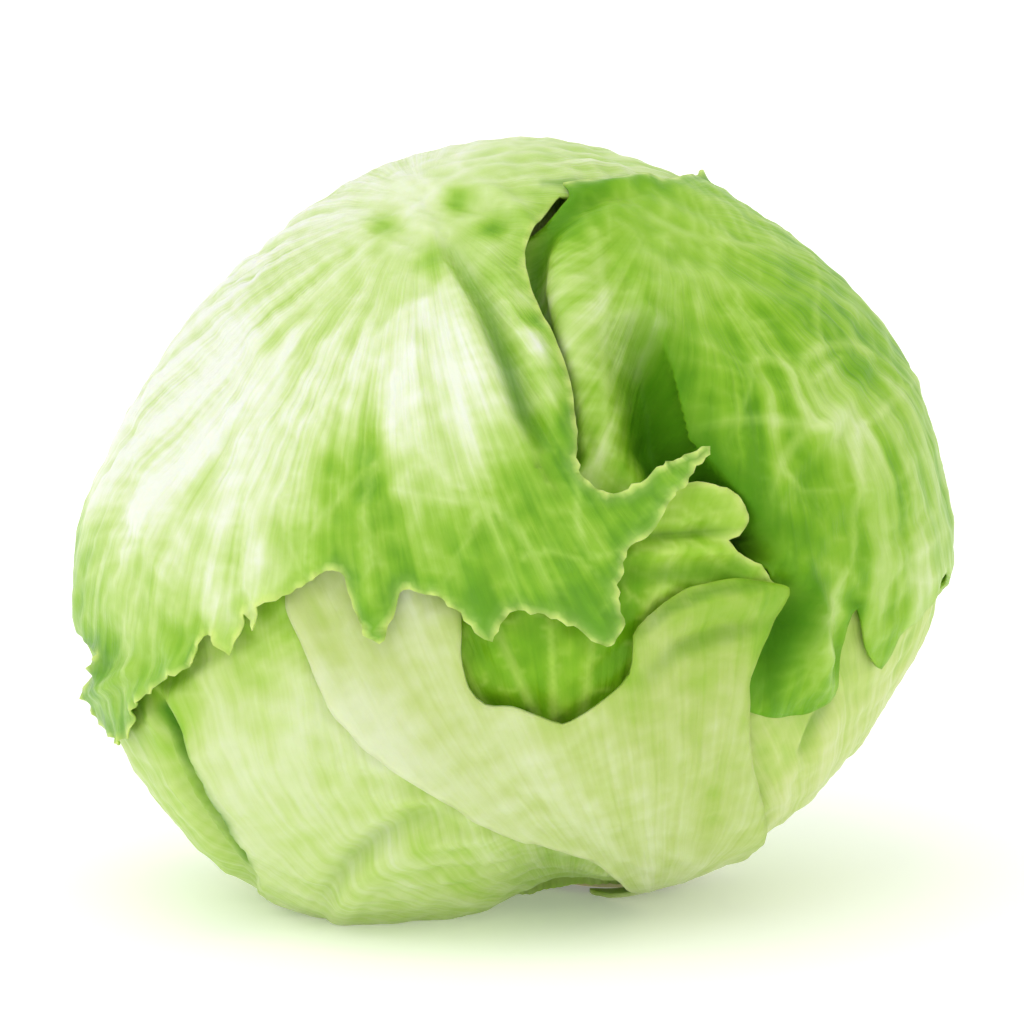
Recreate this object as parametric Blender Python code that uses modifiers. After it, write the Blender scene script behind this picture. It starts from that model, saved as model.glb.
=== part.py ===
# An iceberg lettuce head: a cut stem, a dense heart and seven loose outer leaves.
# Every leaf is a thin blade cut to its outline, draped over the head and folded, then given its thickness.
#
# Frame: +X to the right, +Z up, the front of the head towards -Y. Lengths below are in millimetres.
# Places on the head are given in the front view, as (right, up) from the middle of the head, in the
# plane of its widest outline, which leans back from upright. A place on the far side ends with BACK.

import math
import bpy
import bmesh
import numpy as np
from mathutils import Vector
from mathutils.geometry import delaunay_2d_cdt

MM = 0.001
BACK = -1

# The whole head
LEAN = math.radians(12)
FRONT_BULGE = 71
BACK_BULGE = 72
REST_LEVEL = -65.5
MEAN_RADIUS = 74
OUTLINE_SOFTNESS = 5
HEAD_OUTLINE = [
    (0, 79), (17, 78), (32, 73), (43, 66.5), (57, 55), (69, 42.5), (77, 27), (81, 10), (83, -3), (81, -14),
    (73.5, -27), (63.5, -40), (51.5, -52.5), (36.5, -60), (23, -63.5), (6, -65), (-12, -69), (-30, -71),
    (-45, -66),
    (-57, -58), (-66.5, -49), (-74.5, -37), (-80, -24), (-82, -8), (-80, 8), (-73, 19.5), (-67, 30.5),
    (-58.5, 43),
    (-45.5, 55.5), (-31.5, 66.5), (-16, 75.5),
]

# Slow lumps of the whole head: height, waves along the three directions, start
LUMPS = [
    (0.9, (5, 3, 2), 0.4), (0.8, (-4, 6, 3), 1.9), (0.7, (3, -5, 7), 3.1), (0.5, (9, 4, -6), 0.7),
    (0.5, (-7, 9, 5), 5.0),
]

# Blades
LEAF_THICKNESS = 0.8
FINE_STEP = 4.2
MARGIN_STEP = 3.4
FINE_REACH = 4.5
FOLD_STEP = 5.0
FOLD_SPACE = 1.4
DEPTH_REACH = 0.34
FLAT_DEPTH = 0.3

# Stem and heart
STEM_FOOT = (19, 14)
STEM_RADIUS = 12.5
STEM_BUTT_RADIUS = 13.5
STEM_BEVEL = 1.5
STEM_TOP = 15
STEM_SIDES = 24
RING_RADIUS = 17
RING_ROUNDS = 6
SOCKET_GAP = 0.4
HEART_DEPTH = 9.5
HEART_SPREAD = 5
HEART_LIPS = 7
HEART_LIP_HEIGHT = 1.6

LEAVES = {
    "wrapper_left": {
        "middle": (-40, 35),
        "colour": (0.50, 0.68, 0.25),
        "free": [
            (-76.5, -20), (-78.5, -28.5), (-78, -31.5), (-75, -34.5), (-71, -36), (-69.5, -33.5),
            (-68, -29.5), (-64.5, -26), (-61, -23.5), (-57.5, -21), (-56.5, -16.5), (-54, -16.5),
            (-51.5, -19.5), (-50, -15.5), (-48.5, -12), (-46.5, -15), (-45.5, -11), (-42.5, -10),
            (-36, -6), (-31, -4.5),
            (-29.5, -8.5), (-26, -15.5), (-23.5, -17.5), (-22, -13), (-20, -8), (-13.5, -9.5),
            (-9.5, -12.5),
            (-3.5, -16.5), (-1.5, -12.5), (4.5, -12), (11, -14.5), (16.5, -17.5), (20.5, -14), (19, -10.5),
            (19, -7), (20, -3), (21.5, 0), (24.5, 1.4), (27, 6), (30, 10.5), (32.5, 14), (34.8, 17.6),
            (26, 13.5), (20, 9.5),
            (15.5, 10), (12, 13.5), (11.5, 22), (10.5, 29.5), (8, 37), (5, 43), (3, 49.5), (2.5, 55.5),
            (6, 62),
        ],
        "rest": [
            (9, 65.5), (17, 66), (30, 66.5), (42, 61, BACK), (44, 48, BACK), (39, 30, BACK),
            (33, 12, BACK), (28, -6, BACK),
            (22, -24, BACK), (14, -42, BACK), ("ring", 118), ("ring", 140), ("ring", 165), ("ring", 188),
            (-14, -64, BACK), (-34, -59, BACK), (-52, -50, BACK), (-64, -40, BACK), (-70, -31, BACK),
            (-76, -22, BACK), (-79, -14, BACK),
        ],
        "depth": [
            ((-40, 10), 0), ((0, 20), 0), ((-55, 40), 0), ((30, 12), -3), ((12, 10), -0.6), ((-10, 60), 0),
            ((-30, -4), 0.6), ((10, -12), 0.4), ((-76, -26), 0.4), ((16, 68), 5.2), ((30, 66, BACK), 4.6),
            ((20, 30, BACK), 4.4), ((0, 10, BACK), 4.0), ((-20, 40, BACK), 2.4), ((-50, 10, BACK), 1.2),
            ((20, -10, BACK), 4.4), ((0, -40, BACK), 3.8), ((-40, -30, BACK), 1.8), ((-60, -40, BACK), 0.6),
            ((-10, -62, BACK), 1.6),
        ],
        "folds": [
            ([(-16, 60, 0.5), (-12.5, 50, 2.8), (-7.5, 41, 4.0), (-4, 31, 4.4), (-1, 22, 4.0),
              (3, 16, 2.2)], 13, 2.3),
            ([(-10, 52, 0), (-4, 42, -1.4), (-0.5, 32, -2.2), (2.5, 23, -2.2), (6, 18, -1.0)], 2.4, 4.6),
            ([(-6, 57, 0.6), (-2.5, 48, 1.8), (1, 38, 1.8), (5.5, 28, 1.6), (8, 18, 0.8)], 4, 4.5),
            ([(-26, 58, 0.6), (-21, 46, 1.5), (-18, 32, 1.5), (-15, 16, 0.6)], 5.5, 5.5),
            ([(-22, 66, 0.8), (-13, 67, 1.4), (-2, 65, 1.4), (3, 60, 0.8)], 3.5, 3.5),
            ([(-42, 52, 0.3), (-45, 36, 1.3), (-47, 18, 1.2), (-47, 0, 0.6)], 7, 7),
            ([(-62, 34, 0.3), (-66, 16, 1.2), (-66, 0, 1.2), (-64, -10, 0.5)], 5, 5),
            ([(-77, -27, 1.2), (-74, -25.5, 2.0), (-70, -22.5, 1.4)], 2.5, 2.5),
            ([(-70.5, -31, 0.4), (-66, -26, 1.2), (-61, -22.5, 1.4), (-56.5, -19, 1.0),
              (-50, -16.5, 0.4)], 3, 3),
            ([(8, -2, 0.4), (13, -8, 1.6), (16, -15, 2.0)], 4, 4),
            ([(-27, 2, 0.4), (-26, -6, 1.8), (-24.5, -15, 2.4)], 4, 4),
            ([(-12, 5, 0.3), (-7, -4, 1.4), (-4, -14, 2.0)], 4.5, 4.5),
        ],
        "back_folds": [
            ([(-24, -58, 0.6), (-30, -30, 1.6), (-30, 0, 2.0), (-24, 30, 1.8), (-18, 55, 1.0),
              (-16, 68, 0.3)], 12, 12),
            ([(-30, -6, 0.4), (-44, 12, 1.2), (-56, 30, 0.5)], 5, 5),
            ([(-28, 8, 0.4), (-12, 26, 1.2), (0, 46, 0.4)], 5, 5),
        ],
        "pulls": [],
        "spots": [
            ((-23, 60), -1.0, 4.5), ((-10.5, 65), -1.1, 4), ((-3.5, 59.5), -0.9, 3.5), ((-75, -19), -1.2, 5),
        ],
        "ruffle": (1.0, 15, 6),
        "ragged": 0.5,
        "calm": [((10, 32), 14), ((4, 48), 12), ((6, 62), 9), ((-76, -31), 7)],
    },
    "wrapper_right": {
        "middle": (52, 25),
        "colour": (0.42, 0.64, 0.17),
        "free": [
            (9.5, 67.5), (16, 68.5), (25, 69.5), (31, 69.5), (35, 66, BACK), (33, 60, BACK),
            (27, 50, BACK), (21, 34, BACK),
            (15, 17, BACK), (12, 0, BACK), (9, -18, BACK), (9, -36, BACK), (10, -50, BACK),
        ],
        "rest": [
            ("ring", 96), ("ring", 74), ("ring", 52), ("ring", 30), (40, -52, BACK), (53, -40, BACK),
            (65, -27, BACK),
            (76, -14, BACK), (81, -5), (78, -11), (73, -17), (70, -23.5), (67.5, -20), (67, -16),
            (65.5, -12), (64, -15.5), (63.3, -23), (61.5, -28.5), (57.5, -31.5), (52, -32.5), (47, -32),
            (42.5, -30), (41.5, -24), (44, -17.5), (47, -12), (49, -7), (47, -2), (43.5, 4), (38, 7),
            (30, 8), (23, 7), (17, 6.5), (12, 9), (8.5, 16), (8, 24), (5, 33), (3, 40), (0.5, 47),
            (-0.5, 52),
            (1.5, 58.2), (6, 61.3), (10.7, 65.1),
        ],
        "depth": [
            ((15, 35), 2.2), ((12, 12), 2.4), ((22, 9), 4.2), ((36, 8), 3.5), ((50, 30), 0.6),
            ((70, 0), 0.8), ((60, 50), 0.8),
            ((40, 62), 0.8), ((15, 66), 1.1), ((28, 68), 0.9), ((36, 69), 6), ((5, 61), 4.5),
            ((72, -12), 0.8),
            ((55, -25), 1.2), ((42, -25), 2.4),
            ((20, 30, BACK), 2.2), ((60, 16, BACK), 1.0), ((14, -10, BACK), 2.2),
            ((40, -30, BACK), 2.2), ((54, -8, BACK), 2.4),
            ((24, -60, BACK), 2.0), ((60, -30, BACK), 1.6),
        ],
        "folds": [
            ([(21, 66.6, -0.2), (16, 65.6, -0.3), (11, 63, -0.8), (7.4, 60, -2.4), (5.4, 55.5, -4.6),
              (4.8, 50, -5.5), (5.6, 45, -5), (7.6, 38, -4), (9.6, 29, -3), (11, 17, -2.5)], 9, 3.4),
            ([(21.5, 44, -0.5), (24.5, 38, -4.5), (27.5, 32.5, -8), (29.8, 27, -10), (31, 21.5, -11),
              (34, 16, -12),
              (38.5, 10, -11), (42.5, 4, -9), (46, -2, -7)], 13, 3.4),
            ([(23, 47, 1.0), (27.5, 40, 2.2), (31.5, 33, 2.6), (34.5, 26, 2.6), (36, 20, 2.6),
              (40, 14, 2.4),
              (45, 7, 2.2), (50, -2, 2.0), (53, -7, 1.4)], 2.6, 12),
            ([(20, 62.5, 0.6), (15, 60.5, 1.2), (12, 56.5, 1.6), (11, 51, 2.0), (11.5, 43, 2.2),
              (13, 34, 2.0), (15, 23, 1.0)], 3.6, 8),
            ([(10, 66, 0.4), (17, 67.5, 1.2), (26, 69, 0.8)], 2.6, 2.0),
            ([(10, 62, -0.2), (16, 65, -1.0), (24, 66.5, -0.8)], 2.2, 2.2),
            ([(26, 48, 0.6), (38, 50, 1.0), (52, 42, 0.4)], 4, 4),
            ([(57, 21, 0.8), (50, 12, 0.8), (44, 0, 0.2)], 3, 3),
            ([(57, 21, 0.8), (64, 30, 0.8), (68, 36, 0.2)], 3, 3),
            ([(51.5, -9, -1.5), (51, -15, -4.5), (49.5, -21, -4.5), (48, -26.5, -1.2)], 8, 4),
            ([(53, -5, 1.4), (56, -12, 2.8), (57, -20, 3.0), (56.5, -27, 1.2)], 3.6, 3.6),
            ([(60.5, -14, -0.6), (61, -19, -1.0), (60.5, -24, -0.4)], 2.2, 2.2),
        ],
        "back_folds": [
            ([(60, -18, 0), (68, -2, 1.6), (74, 10, 1.2)], 11, 11),
            ([(50, 12, 0.2), (46, 22, 0.8), (38, 38, 0.5)], 5, 5),
            ([(66, -4, 0.4), (62, 20, 1.0), (54, 42, 0.4)], 5, 5),
        ],
        "pulls": [
            ([(10, 57, 0.3), (8.6, 52, 1.4), (8.4, 46, 2.0), (9.6, 39, 2.0), (11.2, 31, 1.4),
              (12.6, 23, 0.6), (13.5, 16, 0.1)], 2.6, 7, (-0.95, 0)),
            ([(27.5, 40, 0.6), (31.5, 33, 2.4), (34.5, 26, 4), (36, 20, 4), (39, 15, 1.4), (45, 7, 0.2)],
             3.4, 9, (-0.95, -0.3)),
        ],
        "spots": [((64.5, 33), -0.9, 6), ((64, 4), -0.9, 4), ((72, 4), -0.8, 4), ((57, 21), 0.7, 5)],
        "ruffle": (0.8, 13, 5),
        "ragged": 0.9,
        "calm": [((14, 68), 10), ((28, 69), 14), ((36, 69), 12)],
    },
    "front_leaf": {
        "middle": (0, -40),
        "colour": (0.62, 0.72, 0.40),
        "free": [
            (23.5, -64.5), (16.5, -59.5), (5, -56), (-5, -52.5), (-10.5, -49.5), (-19.5, -43.5),
            (-26, -38.5),
            (-32.5, -32), (-37, -25), (-40, -18), (-42.5, -11.5), (-42, -4),
        ],
        "rest": [
            (-36, 1.5), (-26, -1), (-17, -2), (-11, -5), (-9.8, -10), (-9.5, -15.5), (-9.5, -20.5),
            (-8, -26.5),
            (-5, -29.5), (0, -29.5), (5, -31), (9, -32), (13.5, -29.5), (18, -26.5), (21.5, -23.5),
            (22, -19),
            (22.2, -16.5), (25, -13), (32, -8.4), (41.5, -6), (50.5, -7.6), (50, -11), (47, -17.5),
            (44.2, -24.5),
            (44.2, -33), (45, -42), (45.8, -50), (43, -57), (36, -61.5), ("ring", 322), ("ring", 300),
            ("ring", 276), ("ring", 254),
        ],
        "depth": [
            ((-38, -10), 2.8), ((-20, -5), 2.8), ((-25, -35), 1.2), ((10, -45), 0.2), ((45, -20), 0.8),
            ((35, -10), 1.4),
            ((0, -30), 1.6), ((23, -64), -0.9), ((38, -55), 0),
        ],
        "folds": [
            ([(22.5, -19, 0.5), (27, -13.5, 1.6), (36, -9.5, 2.4), (45, -8, 2.0), (50, -8, 1.0)], 6, 2.6),
            ([(23, -25, 0), (30, -18, -0.7), (40, -15, -0.9), (48, -14, -0.3)], 3, 3),
            ([(-40, -12, 0.3), (-33, -29, 0.7), (-18, -42, 0.7), (2, -53, 0.4)], 4, 3),
        ],
        "back_folds": [],
        "pulls": [],
        "spots": [((12, -30), 0.8, 7), ((44, -52), 0.8, 4)],
        "ruffle": (0.0, 15, 5),
        "ragged": 0.1,
        "calm": [],
    },
    "low_left_leaf": {
        "middle": (-40, -40),
        "colour": (0.64, 0.75, 0.40),
        "free": [
            (-18, -56, BACK), (-32, -51, BACK), (-46, -44, BACK), (-58, -35, BACK), (-68, -24, BACK),
            (-76, -16, BACK),
            (-79, -17), (-75, -20),
        ],
        "rest": [
            (-67.5, -16), (-58, -9), (-48.5, -4), (-37.5, 1), (-29, -4), (-30, -14), (-27, -25), (-19, -36),
            (-4, -44), (12, -50), (26, -59), ("ring", 286), ("ring", 262), ("ring", 236), ("ring", 210),
            ("ring", 184),
            (-6, -61, BACK),
        ],
        "depth": [
            ((-62, -22), 2.8), ((-45, -6), 3.4), ((-32, -4), 4.8), ((-30, -25), 3.6), ((-8, -48), 2.2),
            ((-50, -35), 1.4),
            ((-30, -69), -0.3), ((-12, -69), -0.1), ((-68, -40), 1.2), ((-50, -60), 0.2),
            ((5, -58), 2.0), ((24, -61), 2.2),
            ((-10, -62, BACK), 3.6), ((-20, -54, BACK), 3.8), ((-40, -52, BACK), 3.5),
            ((-66, -32, BACK), 3.4), ((-74, -20), 4.4),
        ],
        "folds": [
            ([(-65, -30, -2), (-62.5, -37, -6), (-59, -44, -7), (-54.5, -51, -7), (-50.5, -57, -5.5),
              (-48, -62, -3)], 4.6, 2.6),
            ([(-67, -31, 0.6), (-62, -27, 1.2), (-57, -24, 1.2), (-50, -20, 0.8), (-43, -17, 0.4)], 6, 3),
            ([(-34.5, -64, -1.0), (-31, -59.5, -2.1), (-25.5, -55, -2.3), (-19, -51.5, -1.8),
              (-11, -49.5, -1.0), (-4, -49, 0)], 2.8, 4),
            ([(-32, -68, 0.6), (-29.5, -63.5, 1.6), (-24.5, -59, 2.0), (-16, -55.5, 1.6),
              (-7, -54, 0.5)], 5, 3),
        ],
        "back_folds": [],
        "pulls": [
            ([(-62, -30, 0.6), (-59.5, -37, 1.8), (-56, -44, 2.2), (-51.5, -51, 2.2), (-47.5, -57, 1.6),
              (-46, -62, 0.6)],
             2.6, 7, (-0.9, -0.4)),
        ],
        "spots": [((8, -64), -3.2, 9), ((-40, -45), 0.8, 9)],
        "ruffle": (0.9, 13, 4),
        "ragged": 0.4,
        "calm": [],
    },
    "low_right_leaf": {
        "middle": (60, -45),
        "colour": (0.66, 0.75, 0.44),
        "free": [(38, -33), (44, -30.5), (52, -29.5), (58, -25), (62.5, -13), (70, -8), (78, -4)],
        "rest": [
            (80, 2, BACK), (75, -4, BACK), (62, -18, BACK), (49, -31, BACK), (36, -43, BACK),
            ("ring", 44), ("ring", 22),
            ("ring", 0), ("ring", 335), ("ring", 314), (36, -52), (34, -40),
        ],
        "depth": [
            ((45, -30), 5.4), ((60, -24), 3.6), ((63, -13), 4.0), ((70, -12), 3.4), ((78, -8), 3.0),
            ((38, -45), 2.4),
            ((55, -45), 1.4), ((66, -34), 1.8),
            ((50, -56), 1.6), ((60, -26, BACK), 4.0), ((40, -46, BACK), 4.2), ((30, -64), 2.0),
        ],
        "folds": [([(60.5, -28.5, -0.6), (58, -33, -1.2), (55.5, -39, -0.8)], 1.8, 3),
                  ([(61.5, -30, 0.5), (59.5, -35, 0.9), (56.5, -41, 0.4)], 1.8, 4)],
        "back_folds": [],
        "pulls": [],
        "spots": [],
        "ruffle": (0.0, 15, 5),
        "ragged": 0.2,
        "calm": [],
    },
    "inner_leaf": {
        "middle": (10, -20),
        "colour": (0.24, 0.52, 0.03),
        "free": [
            (41, -24), (44.5, -15), (48.3, -10.5), (49, -7), (46.5, -3.2), (43, -2.2), (41.2, -0.8),
            (40.7, 1), (42.4, 2), (43.6, 4.5),
            (42.8, 7), (40.4, 9.8), (37.5, 11.6), (33, 12), (28, 9.5), (24, 5), (18, 1), (10, 0),
            (0, -2), (-10, -4),
        ],
        "rest": [(-17, -10), (-19, -24), (-12, -38), (2, -46), (18, -46), (32, -38)],
        "depth": [
            ((0, -20), 5.6), ((20, -35), 5.6), ((38, -20), 5.2), ((-12, -10), 5.4), ((28, -10), 4.6),
            ((10, -3), 4.4),
            ((36, 5), 0.2), ((30, 3), 0.8), ((42, 4), 0.6),
        ],
        "folds": [
            ([(23, -1.5, 0.8), (30, -0.8, 2.2), (37, -0.8, 2.2), (41.5, -1, 1.4)], 2.4, 2.6),
            ([(22, 1.8, -0.3), (28, 2.2, -1.3), (36, 2.6, -1.5), (41, 3, -0.6)], 1.8, 2.4),
            ([(32, 11.5, 0.6), (37, 10.2, 0.8), (40.5, 7.5, 0.8), (42.5, 4.5, 1.0)], 2.4, 3),
            ([(-6, -8, 0.2), (-4, -18, 0.8), (0, -28, 0.3)], 2.5, 2.5),
            ([(6, -10, 0.2), (7, -20, 0.8), (10, -30, 0.3)], 2.5, 2.5),
        ],
        "back_folds": [],
        "pulls": [],
        "spots": [((35, 6), -1.4, 5)],
        "ruffle": (0.3, 9, 3),
        "ragged": 0.5,
        "calm": [],
    },
    "back_leaf": {
        "middle": (14, -25, BACK),
        "colour": (0.46, 0.66, 0.22),
        "free": [
            (56, -26, BACK), (57, -12, BACK), (52, 1, BACK), (46, 9, BACK), (42, 6, BACK), (37, 15, BACK),
            (30, 20, BACK), (26, 15, BACK), (19, 22, BACK), (11, 24, BACK), (6, 18, BACK), (-2, 20, BACK),
            (-9, 14, BACK), (-16, 13, BACK), (-19, 5, BACK), (-21, -8, BACK), (-20, -22, BACK),
            (-17, -38, BACK),
        ],
        "rest": [
            (-10, -52, BACK), (-4, -61, BACK), ("ring", 152), ("ring", 130), ("ring", 106), ("ring", 82),
            ("ring", 60), (38, -56, BACK), (49, -42, BACK),
        ],
        "depth": [
            ((14, -25, BACK), 0), ((50, -20, BACK), 0.2), ((-15, -10, BACK), 0), ((14, 15, BACK), 0.2),
            ((15, -60, BACK), 0),
        ],
        "folds": [],
        "back_folds": [
            ([(16, -58, 1.0), (15, -40, 2.0), (16, -20, 1.8), (18, 0, 0.6)], 11, 11),
            ([(16, -38, 0.3), (30, -18, 1.2), (40, 0, 0.5)], 5, 5),
            ([(15, -36, 0.3), (2, -14, 1.2), (-8, 4, 0.5)], 5, 5),
        ],
        "pulls": [],
        "spots": [],
        "ruffle": (1.6, 16, 7),
        "ragged": 1.2,
        "calm": [],
    },
}

HEART_COLOUR = (0.66, 0.78, 0.30)
STEM_COLOUR = (0.78, 0.72, 0.50)


# Head surface, in the leaning frame: right, up, towards the front

def outline_table():
    """The radius of the widest outline at each whole degree round it, from the right, anticlockwise."""
    angles = [math.degrees(math.atan2(up, right)) % 360 for right, up in HEAD_OUTLINE]
    radii = [math.hypot(right, up) for right, up in HEAD_OUTLINE]
    table = np.interp(np.arange(360), *zip(*sorted(zip(angles, radii))), period=360)
    spread = np.arange(-3 * OUTLINE_SOFTNESS, 3 * OUTLINE_SOFTNESS + 1)
    weights = np.exp(-0.5 * (spread / OUTLINE_SOFTNESS) ** 2)
    return sum(w * np.roll(table, s) for w, s in zip(weights, spread)) / weights.sum()


OUTLINE_RADIUS = outline_table()


def outline_radius(right, up):
    angle = np.degrees(np.arctan2(up, right)) % 360
    return np.interp(angle, np.arange(360), OUTLINE_RADIUS, period=360)


def head_radius(directions):
    """How far the head's surface lies along each direction, with the slow lumps that all leaves share."""
    right, up, front = directions.T
    bulge = np.where(front > 0, FRONT_BULGE, BACK_BULGE)
    plain = 1 / np.sqrt((right**2 + up**2) / outline_radius(right, up) ** 2 + (front / bulge) ** 2)
    lumps = sum(size * np.sin(directions @ np.array(wave) + start) for size, wave, start in LUMPS)
    return plain + lumps * (1 - (right**2 + up**2) ** 6)


def down_part(directions):
    """How much each direction points down in the upright frame."""
    return -(directions[:, 1] * math.cos(LEAN) + directions[:, 2] * math.sin(LEAN))


def direction_of(place):
    """The unit direction of a place given as front view sizes, or as an angle round the stem."""
    if place[0] == "ring":
        turn = math.radians(place[1])
        right, back = STEM_FOOT
        right += RING_RADIUS * math.cos(turn)
        back += RING_RADIUS * math.sin(turn)
        point = np.array([right, back, REST_LEVEL])
        for _ in range(RING_ROUNDS):
            way = leaning(point)
            point[2] = max(REST_LEVEL, float(upright(way[None] * head_radius(way[None])[:, None])[0, 2]))
        return way
    right, up = place[:2]
    share = min(math.hypot(right, up) / float(outline_radius(right, up)), 0.999)
    side = -BACK_BULGE if len(place) == 3 else FRONT_BULGE
    scale = share * float(outline_radius(right, up)) / max(math.hypot(right, up), 1e-6)
    point = np.array([right * scale, up * scale, side * math.sqrt(1 - share**2)])
    return point / np.linalg.norm(point)


def leaning(upright):
    """The unit direction, in the leaning frame, of a point given in the upright frame."""
    x, y, z = upright
    point = np.array([
        x,
        y * math.sin(LEAN) + z * math.cos(LEAN),
        -y * math.cos(LEAN) + z * math.sin(LEAN),
    ])
    return point / np.linalg.norm(point)


def upright(points):
    """Points of the leaning frame in the upright frame."""
    right, up, front = points.T
    return np.stack([
        right,
        up * math.sin(LEAN) - front * math.cos(LEAN),
        up * math.cos(LEAN) + front * math.sin(LEAN),
    ], axis=1)


# Relief: folds are ridges or furrows along a line, spots are rounded bumps or dents

def line_reach(points, line):
    """Distance to a line, minus on the right-hand side of its run, and its height at the nearest point."""
    nearest = np.full(len(points), np.inf)
    signed = np.zeros(len(points))
    height = np.zeros(len(points))
    for start, end in zip(line[:-1], line[1:]):
        a, b = np.array(start[:2], float), np.array(end[:2], float)
        along = np.clip((points - a) @ (b - a) / ((b - a) @ (b - a)), 0, 1)
        gap = points - (a + along[:, None] * (b - a))
        distance = np.hypot(*gap.T)
        side = np.sign((b - a)[0] * gap[:, 1] - (b - a)[1] * gap[:, 0])
        closer = distance < nearest
        nearest[closer] = distance[closer]
        signed[closer] = (side * distance)[closer]
        height[closer] = (start[2] + along * (end[2] - start[2]))[closer]
    return signed, height


def bump(share):
    return np.where(np.abs(share) < 1, 0.5 + 0.5 * np.cos(np.pi * np.clip(share, -1, 1)), 0)


def relief_of(leaf, directions, spread=0, only_down=False):
    """Height of a leaf's folds and spots over the plain head, at each direction."""
    surface = directions * head_radius(directions)[:, None]
    places = surface[:, :2]
    fronts = surface[:, 2]
    total = np.zeros(len(places))
    for folds, side in ((leaf["folds"], 1), (leaf["back_folds"], BACK)):
        shown = np.clip(0.5 + side * fronts / 12, 0, 1)
        for line, right, left in folds:
            signed, height = line_reach(places, line)
            width = np.where(signed < 0, right + spread, left + spread)
            if only_down:
                height = np.minimum(height, 0)
            total += shown * height * bump(signed / width)
    for place, height, radius in leaf["spots"]:
        if only_down:
            height = min(height, 0)
        total += np.where(fronts > -6, height * bump(np.hypot(*(places - place).T) / (2 * radius)), 0)
    return total


def depth_of(leaf, directions):
    """How deep a leaf lies under the head's outer surface, blended between its given places."""
    weights = np.zeros(len(directions))
    total = np.zeros(len(directions))
    for place, depth in leaf["depth"]:
        away = np.linalg.norm(directions - direction_of(place), axis=1)
        weight = np.exp(-((away / DEPTH_REACH) ** 2)) + 1e-6 / (away + 0.1)
        weights += weight
        total += weight * depth
    return total / weights


# Leaf blades

def flat_frame(leaf):
    """Three unit directions: two across the leaf's own flat plan and one out through its middle."""
    out = direction_of(leaf["middle"])
    across = np.cross([0.0, 1.0, 0.0], out)
    across /= np.linalg.norm(across)
    return across, np.cross(out, across), out


def flatten(frame, direction):
    across, along, out = frame
    angle = math.acos(max(-1.0, min(1.0, float(direction @ out))))
    stretch = MEAN_RADIUS * angle / max(math.sin(angle), 1e-6)
    return np.array([direction @ across, direction @ along]) * stretch


def drape(frame, plan):
    """Unit directions of points of the flat plan."""
    across, along, out = frame
    length = np.hypot(*plan.T)
    angle = length / MEAN_RADIUS
    unit = plan / np.maximum(length, 1e-9)[:, None]
    sideways = unit[:, :1] * across + unit[:, 1:] * along
    return np.cos(angle)[:, None] * out + np.sin(angle)[:, None] * sideways


def smooth_line(points, step):
    """Points a step apart on a curve through the given ones, with each given point kept."""
    points = np.array(points)
    padded = np.vstack([2 * points[0] - points[1], points, 2 * points[-1] - points[-2]])
    found = []
    for before, start, end, after in zip(padded, padded[1:], padded[2:], padded[3:]):
        count = max(1, round(np.linalg.norm(end - start) / step))
        for t in np.arange(count) / count:
            slope_in, slope_out = (end - before) * 0.42, (after - start) * 0.42
            found.append(
                (2 * t**3 - 3 * t**2 + 1) * start + (t**3 - 2 * t**2 + t) * slope_in
                + (3 * t**2 - 2 * t**3) * end + (t**3 - t**2) * slope_out
            )
    return np.array(found)


def ragged_line(line, amount, seed):
    """The line with small uneven teeth across it."""
    draw = np.random.default_rng(seed)
    slope = np.gradient(line, axis=0)
    across = np.stack([slope[:, 1], -slope[:, 0]], axis=1)
    across /= np.maximum(np.linalg.norm(across, axis=1), 1e-6)[:, None]
    teeth = draw.uniform(-1, 1, len(line)) * amount
    teeth[[0, -1]] = 0
    return line + across * teeth[:, None]


def teeth_share(leaf, frame, line):
    """How strong the teeth are along the margin, 0 where it stays smooth."""
    share = np.ones(len(line))
    for place, radius in leaf["calm"]:
        away = np.hypot(*(line - flatten(frame, direction_of(place))).T)
        share *= 1 - np.exp(-((away / radius) ** 4))
    return share


def inside(points, polygon):
    x, y = points.T
    within = np.zeros(len(points), bool)
    for (x1, y1), (x2, y2) in zip(polygon, np.roll(polygon, -1, axis=0)):
        if y1 != y2:
            crosses = (y1 > y) != (y2 > y)
            within ^= crosses & (x < (x2 - x1) * (y - y1) / (y2 - y1) + x1)
    return within


def polygon_reach(points, polygon):
    ring = [(*point, 0) for point in np.vstack([polygon, polygon[:1]])]
    return np.abs(line_reach(points, ring)[0])


def fold_places(line, right, left):
    """Front view places along a fold: on its line, at its two feet and halfway to them."""
    line = np.array(line)[:, :2]
    run = smooth_line(list(line), FOLD_STEP)
    slope = np.gradient(run, axis=0)
    across = np.stack([-slope[:, 1], slope[:, 0]], axis=1) / np.linalg.norm(slope, axis=1)[:, None]
    return np.vstack([run + across * away for away in (0, -right / 2, left / 2, -right, left)])


def fold_points(leaf, frame):
    """The plan's points along all folds of a leaf, thinned where they crowd."""
    kept = []
    for folds, side in ((leaf["folds"], ()), (leaf["back_folds"], (BACK,))):
        for line, right, left in folds:
            for place in fold_places(line, right, left):
                point = flatten(frame, direction_of((*place, *side)))
                if all(math.dist(point, other) > FOLD_SPACE for other in kept):
                    kept.append(point)
    return np.array(kept).reshape(-1, 2)


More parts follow.
